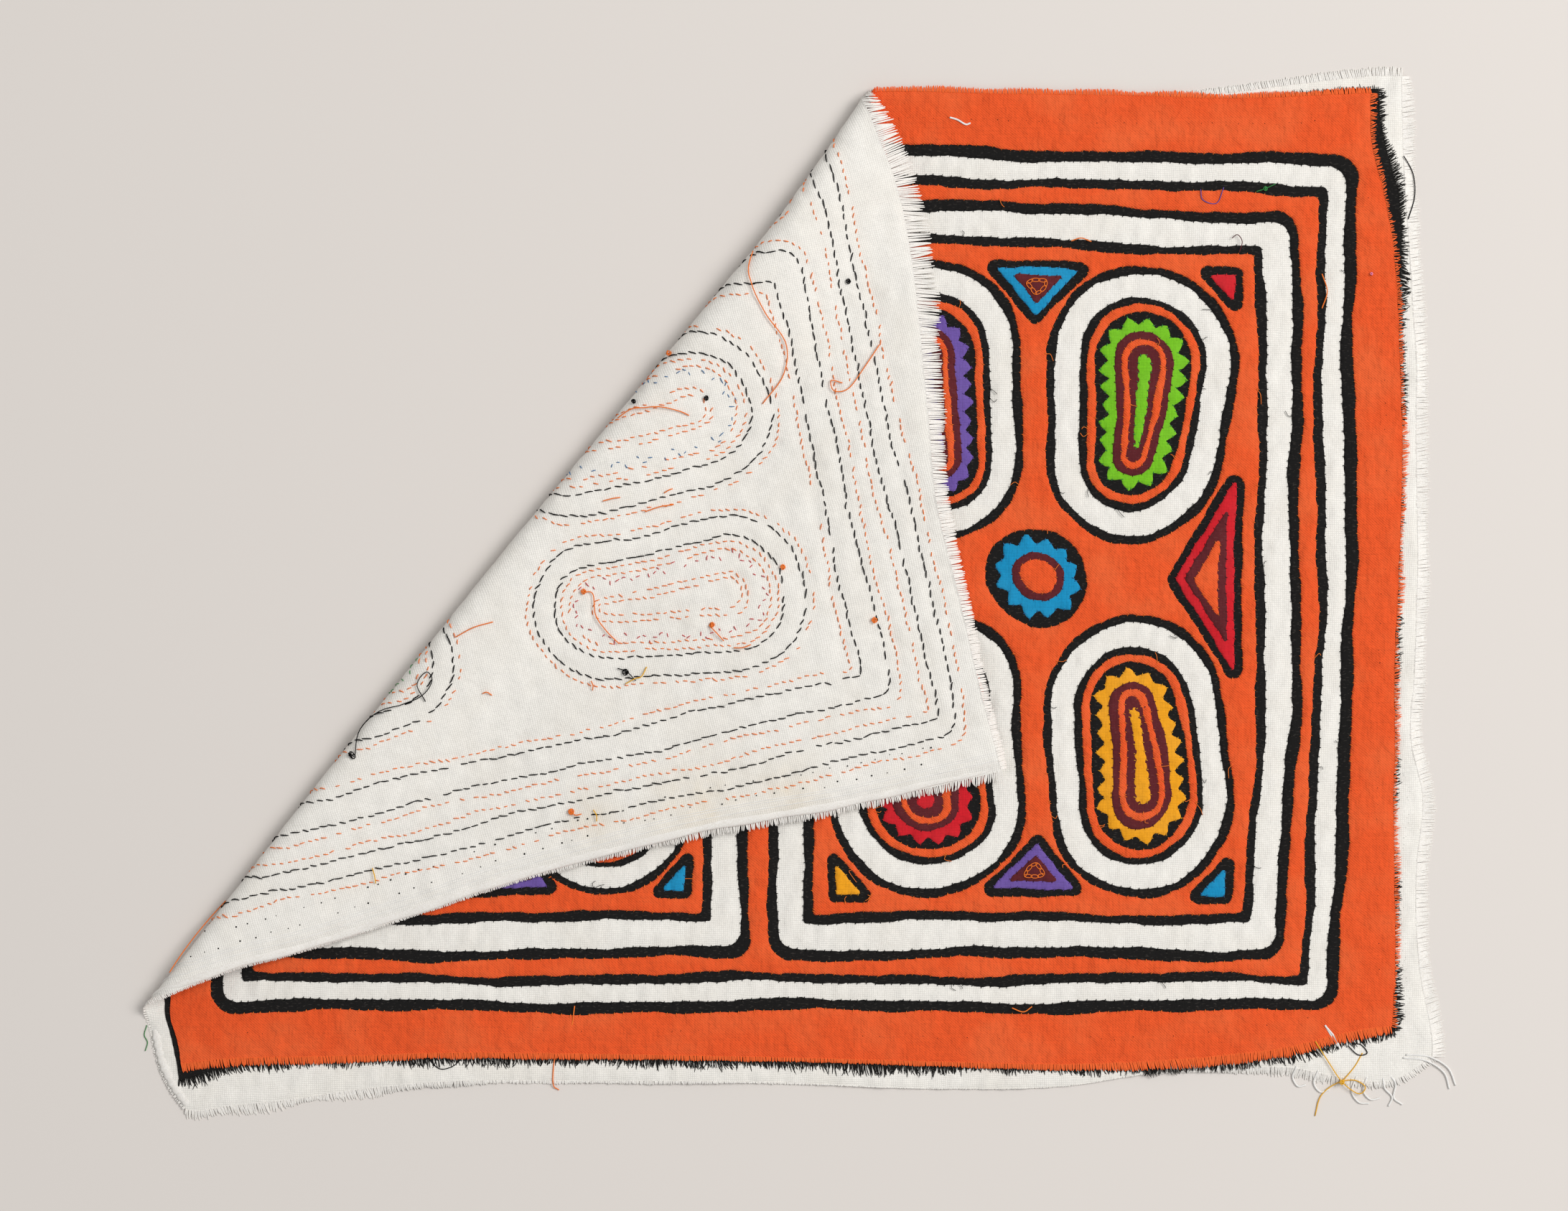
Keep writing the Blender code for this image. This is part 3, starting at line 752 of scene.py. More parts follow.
THREADS = (
    # Ravelled ground cloth: soft and pale, as light comes through the loose threads
    ("ivory_ravel", "FBF4E9"),
    # Single ends of pale sewing cotton
    ("ivory_thread", "FCFAF5"),
    # Black sewing cotton, nearly without shine, and the ravelled black cloth, duller still
    ("black_thread", "131213"),
    ("black_ravel", "1A1918"),
    # Orange sewing cotton: a strong colour, so that single stitches show on the pale cloth
    ("orange_thread", "FC7F36"),
    # Ravelled orange cloth: lighter than the cloth, as light comes through the loose threads
    ("orange_ravel", "FF6B36"),
    # Sewing cottons in the inlays' colours
    ("yellow_thread", "EDB43A"),
    ("red_thread", "C8323A"),
    ("blue_thread", "3A6FA0"),
    ("green_thread", "3F8A4C"),
    ("purple_thread", "6A55A0"),
    ("pink_thread", "E986A8"),
    ("maroon_thread", "5A2A30"),
)
MATERIALS = {row[0]: woven_cotton(*row) for row in COTTONS}
MATERIALS.update({name: woven_cotton(name, 0.55, 0.0, gap, *INLAY) for name, gap in GAP_SHADES.items()})
MATERIALS.update({row[0]: spun_thread(*row) for row in THREADS})
DRESSED, SEAMS, CHAINS = [], [], []

# The design

PETALS = (
    # field, outward u, outward v, colour
    (1, 1, 1, "green"),
    (1, 1, -1, "yellow"),
    (1, -1, 1, "purple"),
    (1, -1, -1, "red"),
    (0, 1, -1, "pink"),
    (0, -1, -1, "green"),
    (0, 1, 1, "blue"),
    (0, -1, 1, "red"),
)
# What is cut for a petal: piece, its rings, height, and cotton, where None is the petal's own
PETAL_PIECES = (
    ("petal_outline", ("under", "white"), "black", "black"),
    ("petal_island", ("island",), "island", "black"),
    ("petal_ring", ("ring", "ring_hole"), "ring", "orange"),
    ("petal_teeth", ("teeth",), "teeth", None),
    ("petal_heart", ("maroon",), "maroon", "maroon"),
    ("petal_inner_ring", ("inner_ring", "core"), "inner_ring", "orange"),
)
LEAF = ((0.0, 2.9), (0.9, 1.5))  # how far along the petal, and radius, at both ends
WEDGE_RINGS = ((5.2, "maroon"), (7.8, "orange"), (10.4, "maroon"))
ROSETTE_RINGS = ((8.2, "maroon"), (10.8, "orange"), (13.4, "yellow"))
FILLERS = {
    # colour, radius, rings as depth and colour, and corners anticlockwise, from the field's
    # middle, for a field 77 mm half wide
    "right_wedge": ("red", 3.2, WEDGE_RINGS, (50, 0), (68.5, -32), (68.5, 32)),
    "left_wedge": ("red", 3.2, WEDGE_RINGS, (-50, 0), (-68.5, 32), (-68.5, -32)),
    "high_wedge": ("blue", 2.8, WEDGE_RINGS[:1], (0, 92), (15, 108.5), (-15, 108.5)),
    "low_wedge": ("purple", 2.8, WEDGE_RINGS[:1], (0, -92), (-15, -108.5), (15, -108.5)),
    "high_corner": ("red", 2.4, (), (70, 99), (70, 110), (60, 110)),
    "low_corner": ("blue", 2.4, (), (70, -99), (60, -110), (70, -110)),
    "low_left_corner": ("yellow", 2.4, (), (-70, -99), (-70, -110), (-60, -110)),
    "rosette": ("blue", 17.0, ROSETTE_RINGS, (0, 0)),
}
FULL_HALF_HEIGHT = 117.0


def face_down(loop):
    """Whether a loop lies on the flap, where its face doesn't show."""
    return (fold_state(loop)[3] > 0).mean() > 0.5


def sewn(loop, thread):
    """Notes that a loop is stitched through to the back, and passes it on."""
    SEAMS.append((loop, thread))
    return loop


def sketched(loop, seed, step=EDGE_STEP):
    """A loop of the fields as cut and sewn. The hand's slow wander is the same for every ring, so
    that they stay nested."""
    loop = resample(loop, step)
    shift = np.stack([ripple(loop, 41, 58.0), ripple(loop, 42, 64.0)], axis=1)
    return hemmed(leaned(loop) + 2.0 * shift, seed)


def toothed(loop, seed):
    """A loop with saw teeth pointing out, each a straight-sided triangle cut by eye."""
    loop = resample(loop, TOOTH_PITCH / 8)
    run, whole = run_of(loop)
    count = round(whole / TOOTH_PITCH)
    place = run / whole * count
    tooth = np.floor(place).astype(int) % count
    cut = np.random.default_rng(seed)
    height = TOOTH * cut.uniform(0.75, 1.15, count + 1)[tooth]
    lean = cut.uniform(0.42, 0.58, count + 1)[tooth]
    share = place % 1.0
    height *= np.minimum(share / lean, (1 - share) / (1 - lean))
    return loop - inward(loop) * height[:, None]


def middle_of(side):
    """A field's middle, half its width and height, and the scale of what is in it."""
    left, bottom, right, top, _ = FIELDS_ORANGE[side]
    half = np.array([(right - left) / 2, (top - bottom) / 2])
    return np.array([(left + right) / 2, (bottom + top) / 2]), half, half[0] / FULL_HALF_WIDTH


def add_petal(number, side, u_way, v_way, colour):
    """One petal's pieces, round two circles: a big one towards the field's corner and a smaller
    one towards its middle. Returns its window in the orange field, if it shows."""
    centre, half, scale = middle_of(side)
    big, small = PETAL_BIG * scale, PETAL_SMALL * scale
    far = half - PETAL_MARGIN - big
    near = np.array([far[0] - PETAL_NARROWING, PETAL_RISE + small])
    far, near = centre + far * (u_way, v_way), centre + near * (u_way, v_way)
    seed = 100 + 20 * number

    def egg(depth, own_seed):
        return sketched(hull_loop([(*far, big - depth), (*near, small - depth)]), own_seed)

    rings = enumerate(PETAL_RINGS.items())
    rings = {name: egg(depth * scale, seed + k) for k, (name, depth) in rings}
    rings["teeth"] = toothed(rings["teeth"], seed)
    rings["under"] = egg(-UNDERLAP, seed + 10)
    window = sewn(egg(0.0, seed + 9), "orange")
    for name in ("white", "island", "ring", "ring_hole", "inner_ring", "core"):
        sewn(rings[name], "black" if name in ("white", "island") else "orange")
    sewn(rings["teeth"], colour)
    if face_down(window):
        return []
    outer = "outer" if u_way * (2 * side - 1) > 0 else "inner"
    label = f"{SIDES[side]}_{'high' if v_way > 0 else 'low'}_{outer}"
    for name, edges, level, cotton in PETAL_PIECES:
        hems = ["under" if edge == "under" else "hem" for edge in edges]
        loops = [rings[edge] for edge in edges]
        patch(f"{name}_{label}", cotton or colour, loops, level, hems=hems)
    stem = [(*blend(far, near, share), radius * scale) for share, radius in LEAF]
    leaf = sketched(hull_loop(stem), seed + 11, 0.5)
    patch("petal_leaf_" + label, colour, [leaf], "seed", step=1.2)
    return [window]


def filler_ring(side, name, depth, seed):
    """A filler's loop, depth inside its window. Corners far above or below the field's middle
    follow its top or bottom, and the others keep their height."""
    _, radius, _, *corners = FILLERS[name]
    middle, half, scale = middle_of(side)
    points = []
    for u, v in corners:
        rise = v * half[1] / FULL_HALF_HEIGHT if abs(v) > 60 else v
        points.append((middle[0] + u * scale, middle[1] + rise))
    if len(points) == 1:
        return sketched(hull_loop([(*points[0], radius - depth)]), seed)
    return sketched(rounded(points, radius, depth), seed)


def add_filler(number, side, name):
    """One filler's pieces. Returns its window in the orange field, if it shows."""
    colour, _, rings, *_ = FILLERS[name]
    seed = 400 + 20 * number
    window = sewn(filler_ring(side, name, 0.0, seed), "orange")
    if face_down(window):
        return []
    label = f"{name}_{SIDES[side]}"
    outline = filler_ring(side, name, -UNDERLAP, seed + 1)
    patch("outline_" + label, "black", [outline], "black", hems=["under"])
    first = sewn(filler_ring(side, name, OUTLINE, seed + 2), "orange")
    if name == "rosette":
        first = toothed(filler_ring(side, name, OUTLINE + TOOTH * 0.8, seed + 2), seed)
    patch("inlay_" + label, colour, [first], "teeth")
    for k, (depth, cotton) in enumerate(rings):
        loop = filler_ring(side, name, depth, seed + 3 + k)
        level = ("maroon", "inner_ring", "seed")[k]
        patch(f"inlay_{k + 1}_{label}", cotton, [loop], level, step=1.6)
    if name in ("high_wedge", "low_wedge"):
        CHAINS.append(filler_ring(side, name, CHAIN_INSIDE, seed + 7))
    return [window]


def add_fields():
    """The two orange fields with their windows, and everything sewn into them."""
    windows = [[], []]
    for number, (side, *petal) in enumerate(PETALS):
        windows[side] += add_petal(number, side, *petal)
    fillers = [(1, name) for name in FILLERS]
    fillers += [(0, name) for name in ("low_wedge", "low_corner", "low_left_corner")]
    for number, (side, name) in enumerate(fillers):
        windows[side] += add_filler(number, side, name)
    for k, side in enumerate(SIDES):
        orange = sewn(box_loop(FIELDS_ORANGE[k], 3.5 + k), "orange")
        loops, node = [orange, *windows[k]], "orange_field_" + side
        patch("orange_field_cloth_" + side, "orange", loops, "orange", node)
        black = sewn(box_loop(FIELDS_BLACK[k], 3.1 + k), "black")
        loops, node = [black, orange + inward(orange) * UNDERLAP], "black_field_" + side
        patch("black_field_cloth_" + side, "black", loops, "black", node, hems=["hem", "under"])


def add_bands():
    """The border and the frame, each an orange piece on a black one that peeps out."""
    raw = {"orange": raw_loop(ORANGE, 61), "black": raw_loop(BLACK, 63)}
    for band, edges in BANDS.items():
        cut = [(cotton, sewn(box_loop(box, phase), cotton)) for cotton, phase, *box in edges]
        for cotton in raw:
            loops = [loop for of, loop in cut if of == cotton]
            hems, puff = None, PUFF_MORE if cotton == "orange" else PUFF
            if band == "border":
                loops, hems, puff = [raw[cotton], *loops], ["raw", "hem"], PUFF
            name = f"{cotton}_{band}"
            patch(name + "_cloth", cotton, loops, cotton, name, hems=hems, puff=puff)


GROUND_GRID = (298, 240)
# The ground cloth's swell between its seams, behind and in front, and its front's height at the rim
BACK_SWELL, FRONT_SWELL, RIM = 0.34, 0.28, 0.25
BACK_DIMPLE, FRONT_DIMPLE, BACK_PUCKER = 0.20, 0.10, 0.22
# How far from a seam they reach, the step of the grid, and how wide the rim is
SWELL_RUN, SEAM_RUN, BACK_PUCKER_RUN, GRID_STEP, RIM_WIDE = 2.0, 1.3, 4.0, 1.5, 2.0


def crease(flat):
    """Small soft creases in the ground cloth."""
    return 0.15 * ripple(flat, 71, 12.0) + 0.08 * ripple(flat, 72, 5.5)


def back_of_ground(flat, swell=1.0):
    """How high the ground cloth's back lies, where it swells out between the seams."""
    return -BACK_SWELL * swell - crease(flat)


def turned_over(flat):
    """0 where the cloth lies flat, 1 past the start of the bend."""
    return ramp(fold_state(flat)[3], 0.0, 8.0)


def add_ground():
    """The ground cloth, on a grid of two parameters: the blend of its two long sides, plus that
    of its two short ones, less that of its corners. It swells between the seams, up where its
    face shows and out of the back on the flap, and dips where each stitch draws it in."""

    def even(side, count):
        return read(side, np.arange(len(side)), np.linspace(0, len(side) - 1, count))

    bottom, right, top, left = cloth_sides(GROUND)
    wide, high = GROUND_GRID
    foot, head = (even(side, wide)[:, None] for side in (bottom, top[::-1]))
    port, far = (even(side, high)[None] for side in (left[::-1], right))
    s, t = np.linspace(0, 1, wide)[:, None, None], np.linspace(0, 1, high)[None, :, None]
    ends = blend(blend(foot[:1], head[:1], t), blend(foot[-1:], head[-1:], t), s)
    flat = (blend(foot, head, t) + blend(port, far, s) - ends).reshape(-1, 2)

    run = np.concatenate([run_of(loop)[0] for loop, _ in SEAMS])
    closest, distance = nearest(flat, np.vstack([loop for loop, _ in SEAMS]))
    along = run[closest]
    swell = 1 - np.exp(-distance / SWELL_RUN)
    dimple = np.exp(-((distance / SEAM_RUN) ** 2)) * at_stitches(along)
    pucker = np.exp(-distance / BACK_PUCKER_RUN)
    pucker *= ripple(np.stack([along, distance], axis=1), 73, 6.0)
    front = LEVELS["ground"][1] + FRONT_SWELL * swell - FRONT_DIMPLE * dimple + crease(flat) * swell
    back = back_of_ground(flat, swell) + BACK_DIMPLE * dimple + BACK_PUCKER * pucker
    i, j = np.divmod(np.arange(wide * high), high)
    rim = np.minimum(np.minimum(i, wide - 1 - i), np.minimum(j, high - 1 - j)) * GRID_STEP
    w = blend(blend(RIM, front, ramp(rim, 0.0, RIM_WIDE)), back, turned_over(flat))
    index = np.arange(wide * high).reshape(wide, high)
    faces = np.stack([index[:-1, :-1], index[1:, :-1], index[1:, 1:], index[:-1, 1:]], axis=-1)
    piece = make_mesh("ground_cloth_sheet", lay(flat, w), faces.reshape(-1, 4).tolist(), flat)
    return finish_piece(piece, "ivory", "ivory_cotton", "ground_cloth")


# Threads

SLANT = 0.24  # how far a running stitch's ends lie off its seam, as the needle went in and out
# How a stitch rises out of the cloth along its length, and how its ends thin
STITCH_RISE = np.array([0.15, -0.14, -0.26, -0.14, 0.15])
STITCH_TAPER = np.array([0.7, 1.0, 1.05, 1.0, 0.7])
BACK_STITCHES = (
    # thread, length, pitch, thickness, waver, share that shows
    ("black", 2.95, 3.4, 0.56, 0.14, 0.97),
    ("orange", 1.75, 2.6, 0.42, 0.16, 0.86),
    ("red", 1.5, 2.7, 0.36, 0.35, 0.7),
    ("blue", 1.5, 2.7, 0.36, 0.35, 0.7),
    ("green", 1.5, 2.7, 0.36, 0.35, 0.6),
)
# A hem stitch, from beside the hem over its edge and into the cloth: how far in, and its thickness
HEM_STITCH, HEM_STITCH_THICK = np.array([-0.28, -0.05, 0.28, 0.75]), 0.15


def thread_slot(thread):
    return "sewing_thread" if thread == "black" else thread + "_cotton"


def stitches_along(loop, length, pitch, waver, seed):
    """Rows of five points, one row for each of a loop's stitches that lies on the flap."""
    run, whole = run_of(loop)
    hand = np.random.default_rng(seed)
    count = max(3, round(whole / pitch))
    start = (np.arange(count) + hand.uniform(-0.12, 0.12, count)) * whole / count
    long = length * hand.uniform(0.75, 1.2, count)
    at = (start[:, None] + long[:, None] * np.linspace(-0.5, 0.5, 5)) % whole
    flat = read(np.vstack([loop, loop[:1]]), np.append(run, whole), at)
    slope = np.outer(hand.normal(SLANT, waver, count), np.linspace(-1, 1, 5))
    drift = hand.normal(0, waver, count)[:, None] + slope
    flat = flat + left_of(unit(flat[:, -1] - flat[:, 0]))[:, None] * drift[..., None]
    return flat[lies_on_flap(flat[:, 2])]


def add_back_stitches():
    """Running stitches on the flap's back: each thread shows in dashes along its seam."""
    for thread, length, pitch, thick, waver, share in BACK_STITCHES:
        hand = np.random.default_rng(len(thread) + 60)
        rows = []
        for k, (loop, colour) in enumerate(SEAMS):
            if colour == thread:
                rows.append(stitches_along(loop, length, pitch, waver, 900 + k))
        flat = np.concatenate(rows)
        flat = flat[hand.uniform(size=len(flat)) < share]
        paths = lay(flat, STITCH_RISE + hand.normal(0, 0.03, (len(flat), 1)))
        finish = (thread + "_thread", thread_slot(thread))
        tubes("back_stitches_" + thread, *finish, paths, thick / 2 * STITCH_TAPER)


def add_hem_stitches():
    """Tiny hem stitches: each comes up beside the hem, goes over its edge and dives into it."""
    for cotton in sorted({cotton for _, _, _, cotton in HEMS}):
        paths = []
        for loop, into, (low, top), colour in HEMS:
            if colour == cotton:
                run, whole = run_of(loop)
                here = np.searchsorted(run, np.arange(0.0, whole - 1.0, STITCH))
                here = here.clip(0, len(loop) - 1)
                here = here[faces_up(loop[here])]
                way = into[here] - 0.5 * left_of(into[here])
                flat = loop[here][:, None] + way[:, None] * HEM_STITCH[:, None]
                paths.append(lay(flat, [low + 0.1, (low + top) / 2 + 0.15, top + 0.06, top - 0.12]))
        finish = (cotton + "_thread", cotton + "_cotton")
        tubes("hem_stitches_" + cotton, *finish, np.concatenate(paths), HEM_STITCH_THICK, sides=3)


FRINGES = (
    # name, cloth, side, spacing, length, length on the flap, thickness, wildness,
    # height at the root, at the tip, at the tip on the flap
    ("ground_fray_bottom", GROUND, BOTTOM, 0.52, 2.6, 2.4, 0.72, 0.45, 0.25, 0.22, 1.2),
    ("ground_fray_right", GROUND, RIGHT, 0.54, 4.2, 2.4, 0.80, 0.12, 0.25, 0.22, 1.2),
    ("ground_fray_top", GROUND, TOP, 0.62, 3.0, 6.2, 0.74, 0.10, 0.25, 0.22, 1.0),
    ("ground_fray_left", GROUND, LEFT, 0.62, 1.0, 0.9, 0.62, 0.40, 0.15, 0.20, 0.4),
    ("black_fray_bottom", BLACK, BOTTOM, 0.32, 2.7, 2.0, 0.42, 1.0, 0.95, 0.70, 0.9),
    ("black_fray_right", BLACK, RIGHT, 0.32, 2.4, 2.0, 0.42, 1.0, 0.95, 0.70, 0.9),
    ("black_fray_top", BLACK, TOP, 0.60, 1.3, 1.0, 0.28, 1.1, 0.95, 0.70, 0.9),
    ("orange_fray_bottom", ORANGE, BOTTOM, 0.50, 2.6, 2.0, 0.62, 0.22, 1.62, 1.45, 1.5),
    ("orange_fray_right", ORANGE, RIGHT, 0.56, 1.5, 1.5, 0.42, 0.9, 1.60, 1.30, 1.5),
    ("orange_fray_top", ORANGE, TOP, 0.50, 1.7, 1.5, 0.60, 0.34, 1.62, 1.40, 1.5),
)
# Where a fray is shorter or longer than its row says: flat u, or v on the sides, and share
WORN = {
    "ground_fray_left": (
        (-182, 1), (-120, 0.8), (-60, 0.7), (0, 1.2), (50, 2.6), (170, 2.8),
    ),
    "orange_fray_bottom": (
        (-216, 1.1), (-120, 0.8), (90, 0.75), (140, 1.1), (212, 1.1),
    ),
    "ground_fray_bottom": (
        (-216, 1.1), (-140, 1), (-100, 0.5), (-40, 0.35), (140, 0.4), (178, 1.1), (222, 1),
    ),
    "ground_fray_top": (
        (-218, 0.35), (-160, 0.55), (-90, 0.85), (-30, 1.25), (12, 1.1), (30, 0.9), (214, 1),
    ),
}
CLOTH_OF = {GROUND: "ivory", BLACK: "black", ORANGE: "orange"}
# Along a loose thread, from where it leaves the weave to its tip: place, thickness, and how far it
# is sunk into the cloth. Then its root's height on the flap, and the power of its rise to the tip
FRAY_SHARES = np.array([-0.35, 0.0, 0.4, 0.75, 1.0])
FRAY_TAPER = np.array([0.9, 1.0, 1.0, 0.9, 0.45])
FRAY_SUNK = np.array([0.45, 0.0, 0.0, 0.0, 0.0])
FLAP_ROOT, FRAY_RISE = -0.28, 1.4


def add_fray(number, row):
    """Threads that have come loose along a raw side. Each leaves the edge, sways and sinks."""
    name, column, side, spacing, length, flap_length, thick, wild, root, tip, flap_tip = row
    hand = np.random.default_rng(700 + number)
    path = cloth_sides(column)[side]
    run = run_along(path)
    count = round(run[-1] / spacing)
    jitter = hand.uniform(-0.4, 0.4, count) * (0.35 + 0.65 * wild)
    at = np.clip((np.arange(count) + jitter) * spacing, 0, run[-1])
    foot = read(path, run, at)
    along = unit(read(np.gradient(path, axis=0), run, at))
    turned = turned_over(foot)

    uneven = 1 + wild * (0.9 * ripple(foot, 90 + number, 26.0) + hand.normal(0, 0.25, count))
    uneven += 0.06 * hand.normal(0, 1.0, count) + 0.16 * ripple(foot, 95 + number, 40.0)
    reach = blend(length, flap_length, turned) * np.clip(uneven, 0.15, 1.7)
    lean = 0.16 + wild * (0.8 * ripple(foot, 80 + number, 9.0) + hand.normal(0, 0.2, count))
    lean += 0.07 * hand.normal(0, 1.0, count) + 0.25 * ripple(foot, 97 + number, 30.0)
    if name in WORN:
        reach *= through(WORN[name], 1, foot[:, side % 2])
    curl = hand.normal(0, 0.35, count) * wild
    forward, free = reach[:, None] * FRAY_SHARES, np.clip(FRAY_SHARES, 0, 1)
    sideways = forward * lean[:, None] * 0.6 + 0.5 * (curl * reach)[:, None] * free**2
    flat = along[:, None] * sideways[..., None] - left_of(along)[:, None] * forward[..., None]
    flat += foot[:, None]

    turned = turned[:, None]
    start = blend(root, FLAP_ROOT, turned) if column == GROUND else root
    w = blend(start, blend(tip, flap_tip, turned), free**FRAY_RISE)
    w += hand.normal(0, 0.05, (count, 1)) + (2 * turned - 1) * FRAY_SUNK
    cloth = CLOTH_OF[column]
    finish = (cloth + "_ravel", cloth + "_cotton")
    nodes = ("ground_fringe",) if name == "ground_fray_top" else ()
    # Flat faces, because the tops of rounded ones would be darker than the cloth beside them
    look = {"flatten": 0.6, "smooth": False}
    tubes(name, *finish, lay(flat, w), thick / 2 * FRAY_TAPER, *nodes, **look)


def add_chains():
    """Rows of chain stitch: each link is a flat loop of thread, as an ellipse whose far end lies
    under the next one."""
    turn = np.linspace(0, math.tau, 11)[:, None]
    rows = []
    for loop in CHAINS:
        foot = resample(loop, LINK_LENGTH)[:, None]
        step = np.roll(foot, -1, axis=0) - foot
        across = left_of(step) / LINK_LENGTH * LINK_WIDTH / 2
        flat = foot + step * (0.5 - 0.62 * np.cos(turn)) + across * np.sin(turn)
        rows.append(lay(flat, CHAIN_LEVEL + 0.12 * np.cos(turn[:, 0])))
    tubes("chain_stitches", "orange_thread", "orange_cotton", np.concatenate(rows), 0.17)


# Ends of sewing thread left on the back, as seen from above: thread, points
FLAP_ENDS = (
    ("orange", (-11.9, 117.3), (-13.7, 107.9), (-8.8, 96.7), (-1.6, 86.2), (-2.5, 75.4),
     (-9.7, 65.5)),
    ("orange", (30.9, 86.2), (25.5, 78.1), (20.1, 70.9), (15.2, 70), (14.1, 73.6), (18, 72.8)),
    ("orange", (-58.5, 59.5), (-53, 63.1), (-45.8, 64.2), (-38.6, 62.8), (-35, 61.3)),
    ("orange", (-71.5, 0.5), (-68.4, -0.4), (-67.5, -7.6), (-63.9, -13), (-59.4, -17.6)),
    ("orange", (-64.8, 31.7), (-61.5, 32.6), (-58.8, 33)),
    ("orange", (-50.3, 28.1), (-45, 29.9), (-40.4, 30.6)),
    ("orange", (-43.7, 34.6), (-42, 35.6), (-40.8, 36.1)),
    ("orange", (-115.5, -15.2), (-109.3, -11.9), (-102.7, -10)),
    ("orange", (-28.2, -11.2), (-25.9, -13.5), (-23.1, -16.6)),
    ("orange", (-19.7, -19), (-16.5, -18.9), (-13.7, -17.9)),
    ("orange", (-69.1, -30.5), (-68.4, -32), (-68.6, -33.7)),
    ("orange", (-106.5, -34.8), (-105, -34.3), (-103.3, -35.4)),
    ("orange", (-76.5, -75.4), (-74.6, -76.9), (-72.4, -76.6)),
    ("yellow", (-68.3, -75.2), (-67.2, -77), (-67.2, -79.1)),
    ("yellow", (-144.8, -95.2), (-144, -98), (-143.7, -100.6)),
    ("yellow", (-57.2, -31.5), (-53.9, -29.7), (-51.6, -28.9), (-49.8, -25.6)),
    ("black", (-150, -56.1), (-146.9, -47.4), (-138.8, -40.6), (-127.8, -35.9), (-123.7, -30.5),
     (-125.6, -27.2), (-128.9, -31.6), (-126, -37.5)),
    ("black", (-59.9, -26.1), (-56.8, -27.2), (-53.6, -30.4)),
    ("orange", (-196.5, -106.5), (-203, -116.6), (-208.6, -124.5), (-213.8, -132.5)),
)
# Ends of thread on the face: thread, height at the start and at the end, points
FACE_ENDS = (
    ("purple", 1.95, 1.95, (142.6, 140.4), (143.4, 136.6), (148.2, 135.6), (150.6, 141)),
    ("green", 1.95, 1.95, (162, 139.6), (165, 140.6), (168.6, 142.2)),
    ("black", 0.9, 0.7, (213.2, 152), (216.6, 146), (217.2, 138), (214.8, 130)),
    ("orange", 1.95, 0.35, (-75, -143.5), (-76.5, -152), (-81.5, -160), (-82.6, -170.5),
     (-80.6, -173)),
    ("yellow", 1.95, 0.25, (182.4, -155.8), (187, -163), (191.8, -170), (197.6, -174.2),
     (200, -171.8), (196, -169.4), (190, -170.6), (184.6, -175), (182.6, -182)),
    ("yellow", 0.95, 0.85, (191.8, -170), (196, -165), (199, -160)),
    ("ivory", 1.95, 1.1, (185.8, -150.2), (188, -153.8), (190.4, -157.6)),
    ("ivory", 1.95, 1.1, (186.2, -150.8), (189.2, -154.4), (191.2, -158.6)),
    ("black", 1.1, 0.9, (193.8, -157.4), (197.4, -160.6), (200.6, -160), (198.6, -157.2),
     (195.4, -156.6)),
    ("ivory", 1.95, 1.95, (55.4, 165.4), (58, 164.6), (60.8, 163), (62.6, 163.4)),
    ("orange", 1.95, 1.95, (97.6, 122.4), (101, 123.4), (104.6, 122.2)),
    ("maroon", 1.95, 1.95, (153.5, 123.4), (155.4, 124.6), (157, 122.2), (156, 118.4)),
    ("orange", 1.95, 1.95, (184.8, 111), (186.6, 105), (184.8, 99)),
    ("orange", 1.95, 1.6, (77, -144.2), (81, -145.6), (84, -143.8)),
    ("black", 0.9, 0.8, (-126, -161.8), (-122, -165.4), (-117.5, -164.6), (-114, -161.6)),
    ("green", 0.3, 0.3, (-224, -150.4), (-224.9, -153.8), (-223.8, -156.4), (-224.6, -159.4)),
    ("ivory", 0.9, 0.3, (214, -160.6), (222, -161.2), (228.8, -165.2), (231.6, -171.4)),
    ("ivory", 0.9, 0.3, (213, -161.6), (221, -162.6), (227.4, -166.8), (229.4, -172.6)),
    ("ivory", 0.5, 0.3, (176, -164.6), (174.8, -168.4), (176.6, -171.6), (179.4, -171.2)),
    ("ivory", 0.5, 0.3, (183.6, -166), (182.2, -170.4), (184.4, -173.6), (187.6, -172.8)),
    ("ivory", 0.5, 0.3, (197, -168), (195.4, -173.4), (197.8, -177.2), (201.4, -177.6)),
    ("ivory", 0.5, 0.3, (200.6, -168.2), (199.4, -173), (201.8, -176.2), (205.2, -175.8)),
    ("ivory", 0.5, 0.3, (206, -167.8), (206.8, -172.2), (209.4, -175.4), (208.2, -178.6)),
    ("ivory", 0.5, 0.3, (208.4, -167.4), (210.6, -171), (210, -175.6), (213, -178)),
)
# Knots: thread, place, size, whether on the flap
KNOTS = (
    ("orange", (-71.5, 0.5), 0.9, True), ("orange", (-2.5, 9), 0.9, True),
    ("orange", (-27.2, -11), 0.9, True), ("orange", (29.1, -9.4), 1, True),
    ("orange", (-41.1, 82), 0.9, True), ("orange", (-76, -75.8), 1, True),
    ("black", (20.2, 107.9), 0.9, True), ("black", (-53, 65.3), 0.7, True),
    ("black", (-29, 67.3), 0.8, True), ("black", (-57, -27.4), 1.2, True),
    ("black", (-151, -56.4), 1, True), ("green", (165, 140.6), 0.8, False),
    ("pink", (202, 111), 0.5, False), ("yellow", (191.8, -170), 0.9, False),
)
# Threads pulled from the ground cloth are thicker than the sewing threads
END_THICKNESS = {"ivory": 0.7, "orange": 0.42, "yellow": 0.42, "black": 0.38}
OTHER_THICKNESS, END_STEPS = 0.32, 40
